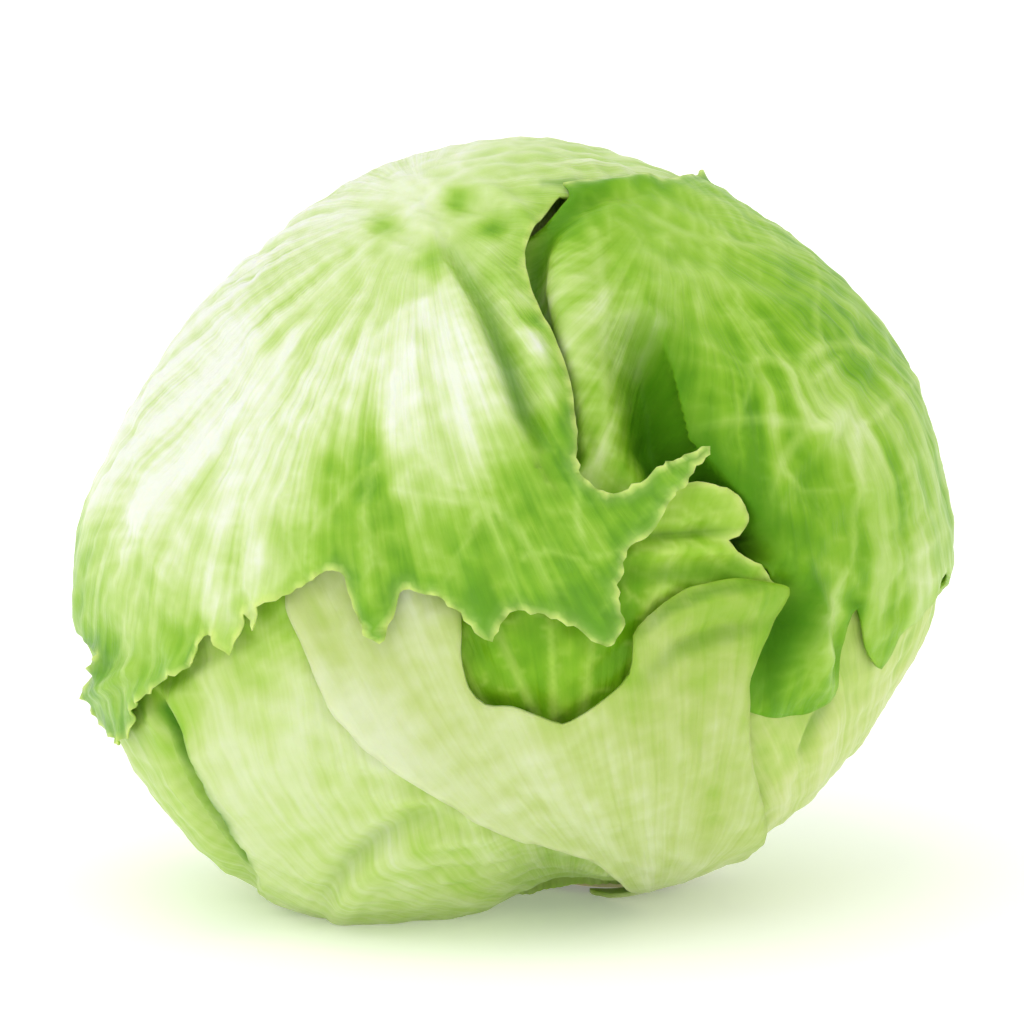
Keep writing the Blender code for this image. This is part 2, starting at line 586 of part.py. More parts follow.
def filling(polygon, margin, creases):
    """Points inside the outline: along the folds, close together by the free margin, far apart elsewhere."""
    low, high = polygon.min(axis=0), polygon.max(axis=0)
    width, height = high - low
    row_count = int(height / (FINE_STEP * 0.866)) + 1
    column_count = int(width / FINE_STEP) + 2
    rows, columns = np.indices((row_count, column_count)).reshape(2, -1)
    grid = low + np.stack([(columns - 0.5 * (rows % 2)) * FINE_STEP, rows * FINE_STEP * 0.866], axis=1)
    coarse = (rows % 2 == 0) & ((columns + rows // 2) % 2 == 0)
    if len(creases):
        creases = creases[inside(creases, polygon) & (polygon_reach(creases, polygon) > FOLD_SPACE)]
        clear = np.array([np.hypot(*(creases - point).T).min(initial=np.inf) for point in grid])
    else:
        clear = np.full(len(grid), np.inf)
    reach = polygon_reach(grid, polygon)
    close = np.abs(line_reach(grid, [(*point, 0) for point in margin])[0]) < FINE_REACH
    room = np.where(close, 0.62 * FINE_STEP, 0.9 * FINE_STEP)
    kept = grid[inside(grid, polygon) & (reach > room) & (clear > 0.75 * room) & (coarse | close)]
    return np.vstack([creases, kept])


def ruffle_of(leaf, plan, margin):
    """The free margin's waves, which only rise outwards and fade into the blade."""
    height, length, reach = leaf["ruffle"]
    steps = np.linalg.norm(np.diff(margin, axis=0, prepend=margin[:1]), axis=1)
    signed, along = line_reach(plan, [(*point, run) for point, run in zip(margin, np.cumsum(steps))])
    wave = 0.5 + 0.5 * np.sin(2 * np.pi * along / length + 2.2 * np.sin(along / (2.7 * length)))
    return height * wave * np.exp(-((signed / reach) ** 2)) * teeth_share(leaf, flat_frame(leaf), plan)


def resting(radius, depth, directions):
    """The radius, cut off at the ground. Outer leaves lie flat on it and deeper ones stay above them."""
    down = down_part(directions)
    floor = (-REST_LEVEL - np.maximum(0.95 * (depth - FLAT_DEPTH), 0)) / np.maximum(down, 1e-6)
    return np.where(down > 0.2, np.minimum(radius, floor), radius)


def leaf_points(leaf, frame, plan, margin):
    directions = drape(frame, plan)
    depth = depth_of(leaf, directions)
    radius = head_radius(directions) - depth + relief_of(leaf, directions) + ruffle_of(leaf, plan, margin)
    places = directions * resting(radius, depth, directions)[:, None]
    for line, right, left, (way_right, way_up) in leaf["pulls"]:
        signed, size = line_reach(places[:, :2], line)
        size = np.where(places[:, 2] > 0, size * bump(signed / np.where(signed < 0, right, left)), 0)
        places += size[:, None] * np.array([way_right, way_up, 0])
    return upright(places)


def add_leaf(name, leaf, seed, collection):
    frame = flat_frame(leaf)
    free = [flatten(frame, direction_of(place)) for place in leaf["free"]]
    rest = [flatten(frame, direction_of(place)) for place in leaf["rest"]]
    margin = smooth_line(free + rest[:1], MARGIN_STEP)
    margin = ragged_line(margin, leaf["ragged"] * teeth_share(leaf, frame, margin), seed)
    hidden = smooth_line(rest + free[:1], FINE_STEP * 1.5)
    polygon = np.vstack([margin, hidden])
    plan = np.vstack([polygon, filling(polygon, margin, fold_points(leaf, frame))])
    corners, _, faces, *_ = delaunay_2d_cdt(
        [Vector(point) for point in plan], [], [list(range(len(polygon)))], 1, 1e-4
    )
    plan = np.array([tuple(corner) for corner in corners])
    points = leaf_points(leaf, frame, plan, margin)
    mesh = bpy.data.meshes.new(name)
    mesh.from_pydata((points * MM).tolist(), [], faces)
    mesh.update()
    blade = bpy.data.objects.new(name, mesh)
    collection.objects.link(blade)
    thickness = blade.modifiers.new("thickness", "SOLIDIFY")
    thickness.thickness = LEAF_THICKNESS * MM
    thickness.offset = -1
    mesh.shade_smooth()
    blade.data.materials.append(plain_material(name, leaf["colour"], 0.42))
    return blade


# Heart, stem and materials

def plain_material(name, colour, roughness):
    material = bpy.data.materials.new(name)
    material.use_nodes = True
    shader = material.node_tree.nodes["Principled BSDF"]
    shader.inputs["Base Color"].default_value = (*colour, 1)
    shader.inputs["Roughness"].default_value = roughness
    shader.inputs["Metallic"].default_value = 0
    return material


def lip_height(directions):
    """The lips of the heart's own outer leaves: slow rises that end in a step, turning round the head."""
    right, up, front = directions.T
    turn = np.arctan2(right, front) / (2 * np.pi)
    share = (HEART_LIPS * turn + 1.6 * up) % 1
    return HEART_LIP_HEIGHT * np.where(share < 0.82, share / 0.82, (1 - share) / 0.18) * (1 - up**2)


def stem_profile(gap):
    """Half the stem's section, top to bottom, as (radius, height over the rest level), grown by a gap."""
    return [
        (0, STEM_TOP + gap),
        (STEM_RADIUS - 2 + gap, STEM_TOP + gap),
        (STEM_RADIUS + gap, STEM_TOP - 3),
        (STEM_BUTT_RADIUS + gap, STEM_BEVEL),
        (STEM_BUTT_RADIUS - 0.8 + gap, -gap),
        (0, -gap),
    ]


def add_turned(name, profile, collection):
    """A turned solid on the stem's axis."""
    mesh = bpy.data.meshes.new(name)
    corners = [(radius * MM, 0, (REST_LEVEL + height) * MM) for radius, height in profile]
    mesh.from_pydata(corners, [(i, i + 1) for i in range(len(corners) - 1)], [])
    turned = bpy.data.objects.new(name, mesh)
    turned.location = (STEM_FOOT[0] * MM, STEM_FOOT[1] * MM, 0)
    collection.objects.link(turned)
    screw = turned.modifiers.new("turn", "SCREW")
    screw.steps = screw.render_steps = STEM_SIDES
    screw.use_merge_vertices = True
    screw.merge_threshold = 0.00001
    return turned


def add_heart(collection, cutter):
    mesh = bpy.data.meshes.new("heart")
    shape = bmesh.new()
    bmesh.ops.create_icosphere(shape, subdivisions=4, radius=1)
    directions = np.array([vertex.co[:] for vertex in shape.verts])
    radius = head_radius(directions) - HEART_DEPTH + lip_height(directions)
    for leaf in LEAVES.values():
        radius += relief_of(leaf, directions, HEART_SPREAD, only_down=True)
    radius = resting(radius, HEART_DEPTH, directions)
    for vertex, point in zip(shape.verts, upright(directions * radius[:, None])):
        vertex.co = point * MM
    shape.to_mesh(mesh)
    shape.free()
    mesh.shade_smooth()
    heart = bpy.data.objects.new("heart", mesh)
    collection.objects.link(heart)
    socket = heart.modifiers.new("stem socket", "BOOLEAN")
    socket.operation = "DIFFERENCE"
    socket.object = cutter
    mesh.materials.append(plain_material("heart", HEART_COLOUR, 0.45))
    return heart


def stand_at_origin(pieces, cutter):
    """Moves everything so that the origin is under the middle of the head, at the level it rests on."""
    scene = bpy.context.evaluated_depsgraph_get()
    corners = np.array([
        piece.matrix_world @ Vector(corner)
        for piece in pieces for corner in piece.evaluated_get(scene).bound_box
    ])
    low, high = corners.min(axis=0), corners.max(axis=0)
    for piece in pieces + [cutter]:
        piece.location.x -= (low[0] + high[0]) / 2
        piece.location.y -= (low[1] + high[1]) / 2
        piece.location.z -= low[2]


def build():
    for old in list(bpy.data.objects):
        bpy.data.objects.remove(old)
    head = bpy.data.collections.new("iceberg_lettuce")
    cutters = bpy.data.collections.new("cutters")
    for collection in (head, cutters):
        bpy.context.scene.collection.children.link(collection)
    socket = add_turned("stem_socket", stem_profile(SOCKET_GAP), cutters)
    socket.hide_render = True
    socket.display_type = "WIRE"
    made = bpy.data.meshes.new_from_object(socket.evaluated_get(bpy.context.evaluated_depsgraph_get()))
    cutter = bpy.data.objects.new("stem_socket_solid", made)
    cutter.location = socket.location
    cutter.hide_render = True
    cutter.display_type = "WIRE"
    cutters.objects.link(cutter)
    bpy.data.objects.remove(socket)
    stem = add_turned("stem", stem_profile(0), head)
    stem.data.materials.append(plain_material("stem", STEM_COLOUR, 0.6))
    pieces = [stem, add_heart(head, cutter)]
    for seed, (name, leaf) in enumerate(LEAVES.items()):
        pieces.append(add_leaf(name, leaf, seed, head))
    stand_at_origin(pieces, cutter)


build()
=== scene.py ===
import math
import bpy
import bmesh
import numpy as np
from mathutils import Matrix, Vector
from mathutils.geometry import delaunay_2d_cdt
from mathutils.kdtree import KDTree


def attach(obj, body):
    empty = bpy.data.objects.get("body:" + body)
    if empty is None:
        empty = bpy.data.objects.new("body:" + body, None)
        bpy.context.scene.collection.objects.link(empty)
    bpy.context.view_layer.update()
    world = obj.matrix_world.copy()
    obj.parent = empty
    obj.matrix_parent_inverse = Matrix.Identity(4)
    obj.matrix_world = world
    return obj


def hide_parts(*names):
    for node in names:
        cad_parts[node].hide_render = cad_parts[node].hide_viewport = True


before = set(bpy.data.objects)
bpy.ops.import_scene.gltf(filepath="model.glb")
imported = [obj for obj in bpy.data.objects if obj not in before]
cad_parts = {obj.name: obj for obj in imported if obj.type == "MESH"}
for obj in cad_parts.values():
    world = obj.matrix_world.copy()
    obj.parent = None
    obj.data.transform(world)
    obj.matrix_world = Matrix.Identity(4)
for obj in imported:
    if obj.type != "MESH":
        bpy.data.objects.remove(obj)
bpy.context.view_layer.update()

mm = 0.001
back = -1  # ends a place on the far side of the head

# Lengths are in millimetres. Places on the head are (right, up) in the front view, from the head's middle,
# in the plane of its widest outline. Colours are screen values, 0 to 255.
head = {
    "lean": 12,  # degrees that the widest outline leans back
    "frontBulge": 71,
    "backBulge": 72,
    "restLevel": -65.5,
    "meanRadius": 74,
    "softness": 5,
    "shift": (-0.068, -1.030),
    "outline": [
        (0, 79), (17, 78), (32, 73), (43, 66.5), (57, 55), (69, 42.5), (77, 27), (81, 10), (83, -3),
        (81, -14), (73.5, -27), (63.5, -40), (51.5, -52.5), (36.5, -60), (23, -63.5), (6, -65), (-12, -69),
        (-30, -71), (-45, -66), (-57, -58), (-66.5, -49), (-74.5, -37), (-80, -24), (-82, -8), (-80, 8),
        (-73, 19.5), (-67, 30.5), (-58.5, 43), (-45.5, 55.5), (-31.5, 66.5), (-16, 75.5),
    ],
    "lumps": [  # height, waves along the three directions, start
        (0.9, (5, 3, 2), 0.4), (0.8, (-4, 6, 3), 1.9), (0.7, (3, -5, 7), 3.1), (0.5, (9, 4, -6), 0.7),
        (0.5, (-7, 9, 5), 5.0),
    ],
    "crinkles": 26,
    "crinkleHeight": 0.34,
    "crinkleSeed": 11,
}

blade = {
    "thickness": 0.8,
    "edgeThickness": 0.55,  # share of it left at a torn margin
    "thinReach": 5,  # how far in from the margin it thins
    "marginStep": 3.4,
    "edgeStep": 1.5,
    "hiddenStep": 6.3,
    "edgeRoom": 0.66,  # cells left free inside the outline
    "depthReach": 0.34,
    "flatDepth": 0.3,
    "curlReach": 3.2,
    "marginZone": 8,  # where the distance to the margin is taken exactly
    "fanStart": 8,  # fibres begin this far from where they spread
    "fanBuild": 26,
    "fanTurn": 2.95,  # and stop at this angle to either side
    "fanPitch": 45,
    "fluteWaves": (((0.35, 1), (0.02, 0.14)), 16),  # pitches across and along the fibres, number
    "puckerWaves": (((0.25, 0.9), (0.25, 0.9)), 18),
}

veining = {
    "room": 2.6,  # a vein end for every square of this side
    "close": 1.9,
    "step": 1.6,
    "rounds": 90,
    "width": 0.55,
}


# How the shapes steer the colours, with the painted shade in folds and hollows and the painted highlight
# along torn margins
colouring = {
    "veinGap": 2.2,
    "gapGreen": 0.1,  # more green between the veins
    "fluteGreen": 0.06,  # less on the ridges
    "puckerGreen": 0.02,
    # painted shade: the colour darkens from this depth in a fold, fully over this run
    "shadeFrom": 1.2,
    "shadeRun": 9,
    # painted highlight along a torn margin: how wide, and how much is left where the edge lies flat
    "edgeHighlightWidth": 0.8,
    "edgeHighlightLeast": 0.45,
    # how far the colour goes to the painted shade colour, and the roughness added under painted shade
    "paintedShadeShare": 0.95,
    "paintedShadeRoughness": 0.5,
    "fibreRelief": 1.2,
    "bumpDepth": 0.0007,
    "glowRadius": (0.7, 1, 0.25),
    "glowScale": 0.003,
}


# Head surface

def outlineTable():
    angles = [math.degrees(math.atan2(up, right)) % 360 for right, up in head["outline"]]
    radii = [math.hypot(right, up) for right, up in head["outline"]]
    table = np.interp(np.arange(360), *zip(*sorted(zip(angles, radii))), period=360)
    spread = np.arange(-3 * head["softness"], 3 * head["softness"] + 1)
    weights = np.exp(-0.5 * (spread / head["softness"]) ** 2)
    return sum(w * np.roll(table, s) for w, s in zip(weights, spread)) / weights.sum()


outlineRadii = outlineTable()
leanSine, leanCosine = math.sin(math.radians(head["lean"])), math.cos(math.radians(head["lean"]))


def outlineRadius(right, up):
    angle = np.degrees(np.arctan2(up, right)) % 360
    return np.interp(angle, np.arange(360), outlineRadii, period=360)


def headRadius(directions):
    right, up, front = directions.T
    bulge = np.where(front > 0, head["frontBulge"], head["backBulge"])
    plain = 1 / np.sqrt((right**2 + up**2) / outlineRadius(right, up) ** 2 + (front / bulge) ** 2)
    lumps = sum(size * np.sin(directions @ np.array(wave) + start) for size, wave, start in head["lumps"])
    return plain + lumps * (1 - (right**2 + up**2) ** 6)


def crinkle(directions):
    # small waves shared by all leaves, so nested leaves stay apart
    draw = np.random.default_rng(head["crinkleSeed"])
    total = np.zeros(len(directions))
    for _ in range(head["crinkles"]):
        way = draw.normal(size=3)
        pitch = draw.uniform(16, 44)
        way *= pitch / np.linalg.norm(way)
        total += np.sin(directions @ way + draw.uniform(0, 6.3)) * 22 / pitch
    return total * head["crinkleHeight"] / math.sqrt(head["crinkles"])


def downPart(directions):
    return -(directions[:, 1] * leanCosine + directions[:, 2] * leanSine)


def leaning(point):
    x, y, z = point
    way = np.array([x, y * leanSine + z * leanCosine, -y * leanCosine + z * leanSine])
    return way / np.linalg.norm(way)


def upright(points):
    right, up, front = points.T
    return np.stack([right, up * leanSine - front * leanCosine, up * leanCosine + front * leanSine], axis=1)


def onFloor(points):
    return upright(points) + np.array([*head["shift"], -head["restLevel"]])


def directionOf(place):
    if place[0] == "ring":
        turn = math.radians(place[1])
        right, rear = stemValues["foot"]
        right += stemValues["ringRadius"] * math.cos(turn)
        rear += stemValues["ringRadius"] * math.sin(turn)
        point = np.array([right, rear, head["restLevel"]])
        for _ in range(6):
            way = leaning(point)
            level = upright(way[None] * headRadius(way[None])[:, None])[0, 2]
            point[2] = max(head["restLevel"], float(level))
        return way
    right, up = place[:2]
    edge = float(outlineRadius(right, up))
    share = min(math.hypot(right, up) / edge, 0.999)
    scale = share * edge / max(math.hypot(right, up), 1e-6)
    side = -head["backBulge"] if len(place) == 3 else head["frontBulge"]
    point = np.array([right * scale, up * scale, side * math.sqrt(1 - share**2)])
    return point / np.linalg.norm(point)


def ring(*angles):
    # places round the stem
    return [("ring", angle) for angle in angles]


def behind(*places):
    return [(*place, back) for place in places]


# Folds, furrows, dents and veins along lines

def lineReach(points, line):
    # distance to a line, minus on the right of its run, and the third value there
    nearest = np.full(len(points), np.inf)
    signed = np.zeros(len(points))
    height = np.zeros(len(points))
    for start, end in zip(line[:-1], line[1:]):
        a, b = np.array(start[:2], float), np.array(end[:2], float)
        along = np.clip((points - a) @ (b - a) / ((b - a) @ (b - a)), 0, 1)
        gap = points - (a + along[:, None] * (b - a))
        distance = np.hypot(*gap.T)
        side = np.sign((b - a)[0] * gap[:, 1] - (b - a)[1] * gap[:, 0])
        closer = distance < nearest
        nearest[closer] = distance[closer]
        signed[closer] = (side * distance)[closer]
        height[closer] = (start[2] + along * (end[2] - start[2]))[closer]
    return signed, height


def bump(share):
    return np.where(np.abs(share) < 1, 0.5 + 0.5 * np.cos(np.pi * np.clip(share, -1, 1)), 0)


def shownOn(fronts, side):
    return np.clip(0.5 + side * fronts / 12, 0, 1)


def reliefOf(leaf, directions, spread=0, onlyDown=False):
    surface = directions * headRadius(directions)[:, None]
    places, fronts = surface[:, :2], surface[:, 2]
    total = np.zeros(len(places))
    for folds, side in ((leaf["folds"], 1), (leaf["backFolds"], back)):
        for line, right, left in folds:
            signed, height = lineReach(places, line)
            width = np.where(signed < 0, right + spread, left + spread)
            if onlyDown:
                height = np.minimum(height, 0)
            total += shownOn(fronts, side) * height * bump(signed / width)
    for *place, height, radius in leaf["spots"]:
        if onlyDown:
            height = min(height, 0)
        total += np.where(fronts > -6, height * bump(np.hypot(*(places - place).T) / (2 * radius)), 0)
    return total


def mainVeins(leaf, planes):
    # points along the main veins on the flat plan, with half width and strength
    found = []
    for veins, side in ((leaf["veins"], ()), (leaf["backVeins"], (back,))):
        for line, width, strength in veins:
            run = smoothLine([flatten(planes, directionOf((*place, *side))) for place in line], 0.6)
            taper = 1 - 0.5 * np.arange(len(run)) / len(run)
            found.append(np.column_stack([run, width * taper, strength * taper]))
    return np.vstack(found)


def growVeins(leaf, mains, outline, seed):
    # fine veins that branch off the main ones towards the still empty parts of the blade
    draw = np.random.default_rng(seed)
    low, high = outline.min(axis=0), outline.max(axis=0)
    wanted = draw.uniform(low, high, (int((high - low).prod() / veining["room"] ** 2), 2))
    wanted = wanted[inside(wanted, outline)]
    nodes, parents = mains[::4, :2], [-1] * len(mains[::4])
    gaps, nearest = nearestOn(wanted, nodes)
    for _ in range(veining["rounds"]):
        kept = gaps > veining["close"]
        wanted, gaps, nearest = wanted[kept], gaps[kept], nearest[kept]
        if not len(wanted):
            break
        growing = np.unique(nearest)
        pull = np.zeros((len(nodes), 2))
        np.add.at(pull, nearest, (wanted - nodes[nearest]) / gaps[:, None])
        pull = pull[growing] + draw.normal(0, 0.35, (len(growing), 2))
        fresh = nodes[growing] + pull / np.linalg.norm(pull, axis=1)[:, None] * veining["step"]
        newGaps, newNearest = nearestOn(wanted, fresh)
        closer = newGaps < gaps
        gaps[closer], nearest[closer] = newGaps[closer], newNearest[closer] + len(nodes)
        nodes = np.vstack([nodes, fresh])
        parents += growing.tolist()
    load = np.ones(len(nodes))
    for number in range(len(nodes) - 1, 0, -1):
        if parents[number] >= 0:
            load[parents[number]] += load[number]
    child = np.flatnonzero(np.array(parents) >= 0)
    parent = np.array(parents)[child]
    size = np.minimum(load[child], 24) ** 0.4 / 24**0.4
    widths, strengths = veining["width"] * (0.7 + 0.6 * size), leaf["fineVeins"] * (0.35 + 0.65 * size)
    return np.vstack([
        np.column_stack([nodes[parent] + (nodes[child] - nodes[parent]) * share, widths, strengths])
        for share in (0.25, 0.5, 0.75, 1)
    ])


def veinsAt(samples, plan):
    # strength of the veins at each point, 0 to 1, and the distance to the nearest
    tree = KDTree(len(samples))
    for number, (x, y, *_) in enumerate(samples):
        tree.insert((x, y, 0), number)
    tree.balance()
    found = [tree.find((x, y, 0))[1:] for x, y in plan.tolist()]
    numbers, gaps = np.array([n for n, _ in found]), np.array([gap for _, gap in found])
    return samples[numbers, 3] * bump(gaps / samples[numbers, 2] / 1.6), gaps


def waves(places, pitches, count, seed):
    # soft uneven waves, about 1 high; the pitches are radians a millimetre along the two axes
    draw = np.random.default_rng(seed)
    total = np.zeros(len(places))
    for _ in range(count):
        turns = [draw.choice((-1, 1)) * draw.uniform(low, high) for low, high in pitches]
        total += np.sin(places @ np.array(turns) + draw.uniform(0, 6.3))
    return total / math.sqrt(count / 2)


def blended(places, directions, reach):
    weights = np.zeros(len(directions))
    total = np.zeros(len(directions))
    for *place, amount in places:
        away = np.linalg.norm(directions - directionOf(place), axis=1)
        weight = np.exp(-((away / reach) ** 2)) + 1e-6 / (away + 0.1)
        weights += weight
        total += weight * amount
    return total / weights


# Flat plan of a leaf about its middle

def flatFrame(leaf):
    out = directionOf(leaf["middle"])
    across = np.cross([0.0, 1.0, 0.0], out)
    across /= np.linalg.norm(across)
    return across, np.cross(out, across), out


def flatten(planes, direction):
    across, along, out = planes
    angle = math.acos(max(-1.0, min(1.0, float(direction @ out))))
    stretch = head["meanRadius"] * angle / max(math.sin(angle), 1e-6)
    return np.array([direction @ across, direction @ along]) * stretch


def drape(planes, plan):
    across, along, out = planes
    length = np.hypot(*plan.T)
    angle = length / head["meanRadius"]
    unit = plan / np.maximum(length, 1e-9)[:, None]
    sideways = unit[:, :1] * across + unit[:, 1:] * along
    return np.cos(angle)[:, None] * out + np.sin(angle)[:, None] * sideways


def smoothLine(points, step, bend=0.42):
    points = np.array(points, float)
    padded = np.vstack([2 * points[0] - points[1], points, 2 * points[-1] - points[-2]])
    found = []
    for before, start, end, after in zip(padded, padded[1:], padded[2:], padded[3:]):
        count = max(1, round(np.linalg.norm(end - start) / step))
        for t in np.arange(count) / count:
            slopeIn, slopeOut = (end - before) * bend, (after - start) * bend
            found.append(
                (2 * t**3 - 3 * t**2 + 1) * start + (t**3 - 2 * t**2 + t) * slopeIn
                + (3 * t**2 - 2 * t**3) * end + (t**3 - t**2) * slopeOut
            )
    return np.array(found)


def raggedLine(line, amount, seed):
    draw = np.random.default_rng(seed)
    slope = np.gradient(line, axis=0)
    across = np.stack([slope[:, 1], -slope[:, 0]], axis=1)
    across /= np.maximum(np.linalg.norm(across, axis=1), 1e-6)[:, None]
    teeth = draw.uniform(-1, 1, len(line)) * amount
    teeth[[0, -1]] = 0
    return line + across * teeth[:, None]


def teethShare(leaf, planes, line):
    share = np.ones(len(line))
    for *place, radius in leaf["calm"]:
        away = np.hypot(*(line - flatten(planes, directionOf(place))).T)
        share *= 1 - np.exp(-((away / radius) ** 4))
    return share


def inside(points, polygon):
    x, y = points.T
    within = np.zeros(len(points), bool)
    for (x1, y1), (x2, y2) in zip(polygon, np.roll(polygon, -1, axis=0)):
        if y1 != y2:
            crosses = (y1 > y) != (y2 > y)
            within ^= crosses & (x < (x2 - x1) * (y - y1) / (y2 - y1) + x1)
    return within


def nearestOn(points, ring):
    # distance to the closest point of a run, and its number
    gaps, numbers = [], []
    for start in range(0, len(points), 2000):
        some = points[start:start + 2000]
        away = np.hypot(some[:, None, 0] - ring[None, :, 0], some[:, None, 1] - ring[None, :, 1])
        gaps.append(away.min(axis=1))
        numbers.append(away.argmin(axis=1))
    return np.concatenate(gaps), np.concatenate(numbers)


def cutOutline(leaf, planes, seed):
    free = [flatten(planes, directionOf(place)) for place in leaf["free"]]
    rest = [flatten(planes, directionOf(place)) for place in leaf["rest"]]
    margin = smoothLine(free + rest[:1], blade["marginStep"])
    margin = raggedLine(margin, leaf["ragged"] * teethShare(leaf, planes, margin), seed)
    hidden = smoothLine(rest + free[:1], blade["hiddenStep"])
    fineMargin = smoothLine([*margin, hidden[0]], blade["edgeStep"])
    fineMargin = raggedLine(fineMargin, leaf["teeth"] * teethShare(leaf, planes, fineMargin), seed + 20)
    fineHidden = smoothLine([*hidden, margin[0]], leaf["cell"])
    return margin, fineMargin, np.vstack([fineMargin, fineHidden])


def fillOutline(name, outline, cell):
    # points in rows that make even triangles, halved once more by subdivision
    low, high = outline.min(axis=0), outline.max(axis=0)
    rowCount, columnCount = int((high - low)[1] / (cell * 0.866)) + 1, int((high - low)[0] / cell) + 2
    rows, columns = np.indices((rowCount, columnCount)).reshape(2, -1)
    grid = low + np.stack([(columns - 0.5 * (rows % 2)) * cell, rows * cell * 0.866], axis=1)
    grid = grid[inside(grid, outline)]
    grid = grid[nearestOn(grid, outline)[0] > blade["edgeRoom"] * cell]
    plan = [Vector(point) for point in np.vstack([outline, grid])]
    corners, _, faces, *_ = delaunay_2d_cdt(plan, [], [list(range(len(outline)))], 1, 1e-4)
    mesh = bpy.data.meshes.new(name)
    mesh.from_pydata([(*corner, 0) for corner in corners], [], faces)
    shape = bmesh.new()
    shape.from_mesh(mesh)
    bmesh.ops.subdivide_edges(shape, edges=shape.edges[:], cuts=1, use_grid_fill=True)
    bmesh.ops.triangulate(shape, faces=[face for face in shape.faces if len(face.verts) > 3])
    shape.to_mesh(mesh)
    shape.free()
    return mesh


def resting(radius, depth, directions):
    # presses what is low flat on the floor, deeper leaves a little less far
    down = downPart(directions)
    floor = (-head["restLevel"] - np.maximum(0.95 * (depth - blade["flatDepth"]), 0)) / np.maximum(down, 1e-6)
    return np.where(down > 0.2, np.minimum(radius, floor), radius)


def ruffleOf(leaf, plan, margin):
    height, length, reach = leaf["ruffle"]
    steps = np.linalg.norm(np.diff(margin, axis=0, prepend=margin[:1]), axis=1)
    signed, along = lineReach(plan, [(*point, run) for point, run in zip(margin, np.cumsum(steps))])
    wave = 0.5 + 0.5 * np.sin(2 * np.pi * along / length + 2.2 * np.sin(along / (2.7 * length)))
    return height * wave * np.exp(-((signed / reach) ** 2)) * teethShare(leaf, flatFrame(leaf), plan), along


def meshOf(name, shape):
    mesh = bpy.data.meshes.new(name)
    shape.to_mesh(mesh)
    shape.free()
    return mesh


def linked(name, data):
    made = bpy.data.objects.new(name, data)
    bpy.context.scene.collection.objects.link(made)
    return made


def storeMarks(mesh, marks, maps):
    # the point values and the maps that a material reads
    for key, values in marks.items():
        mesh.attributes.new(key, "FLOAT", "POINT").data.foreach_set("value", values.astype(np.float32))
    loops = np.empty(len(mesh.loops), int)
    mesh.loops.foreach_get("vertex_index", loops)
    for key, values in maps.items():
        mesh.uv_layers.new(name=key).data.foreach_set("uv", values[loops].astype(np.float32).ravel())


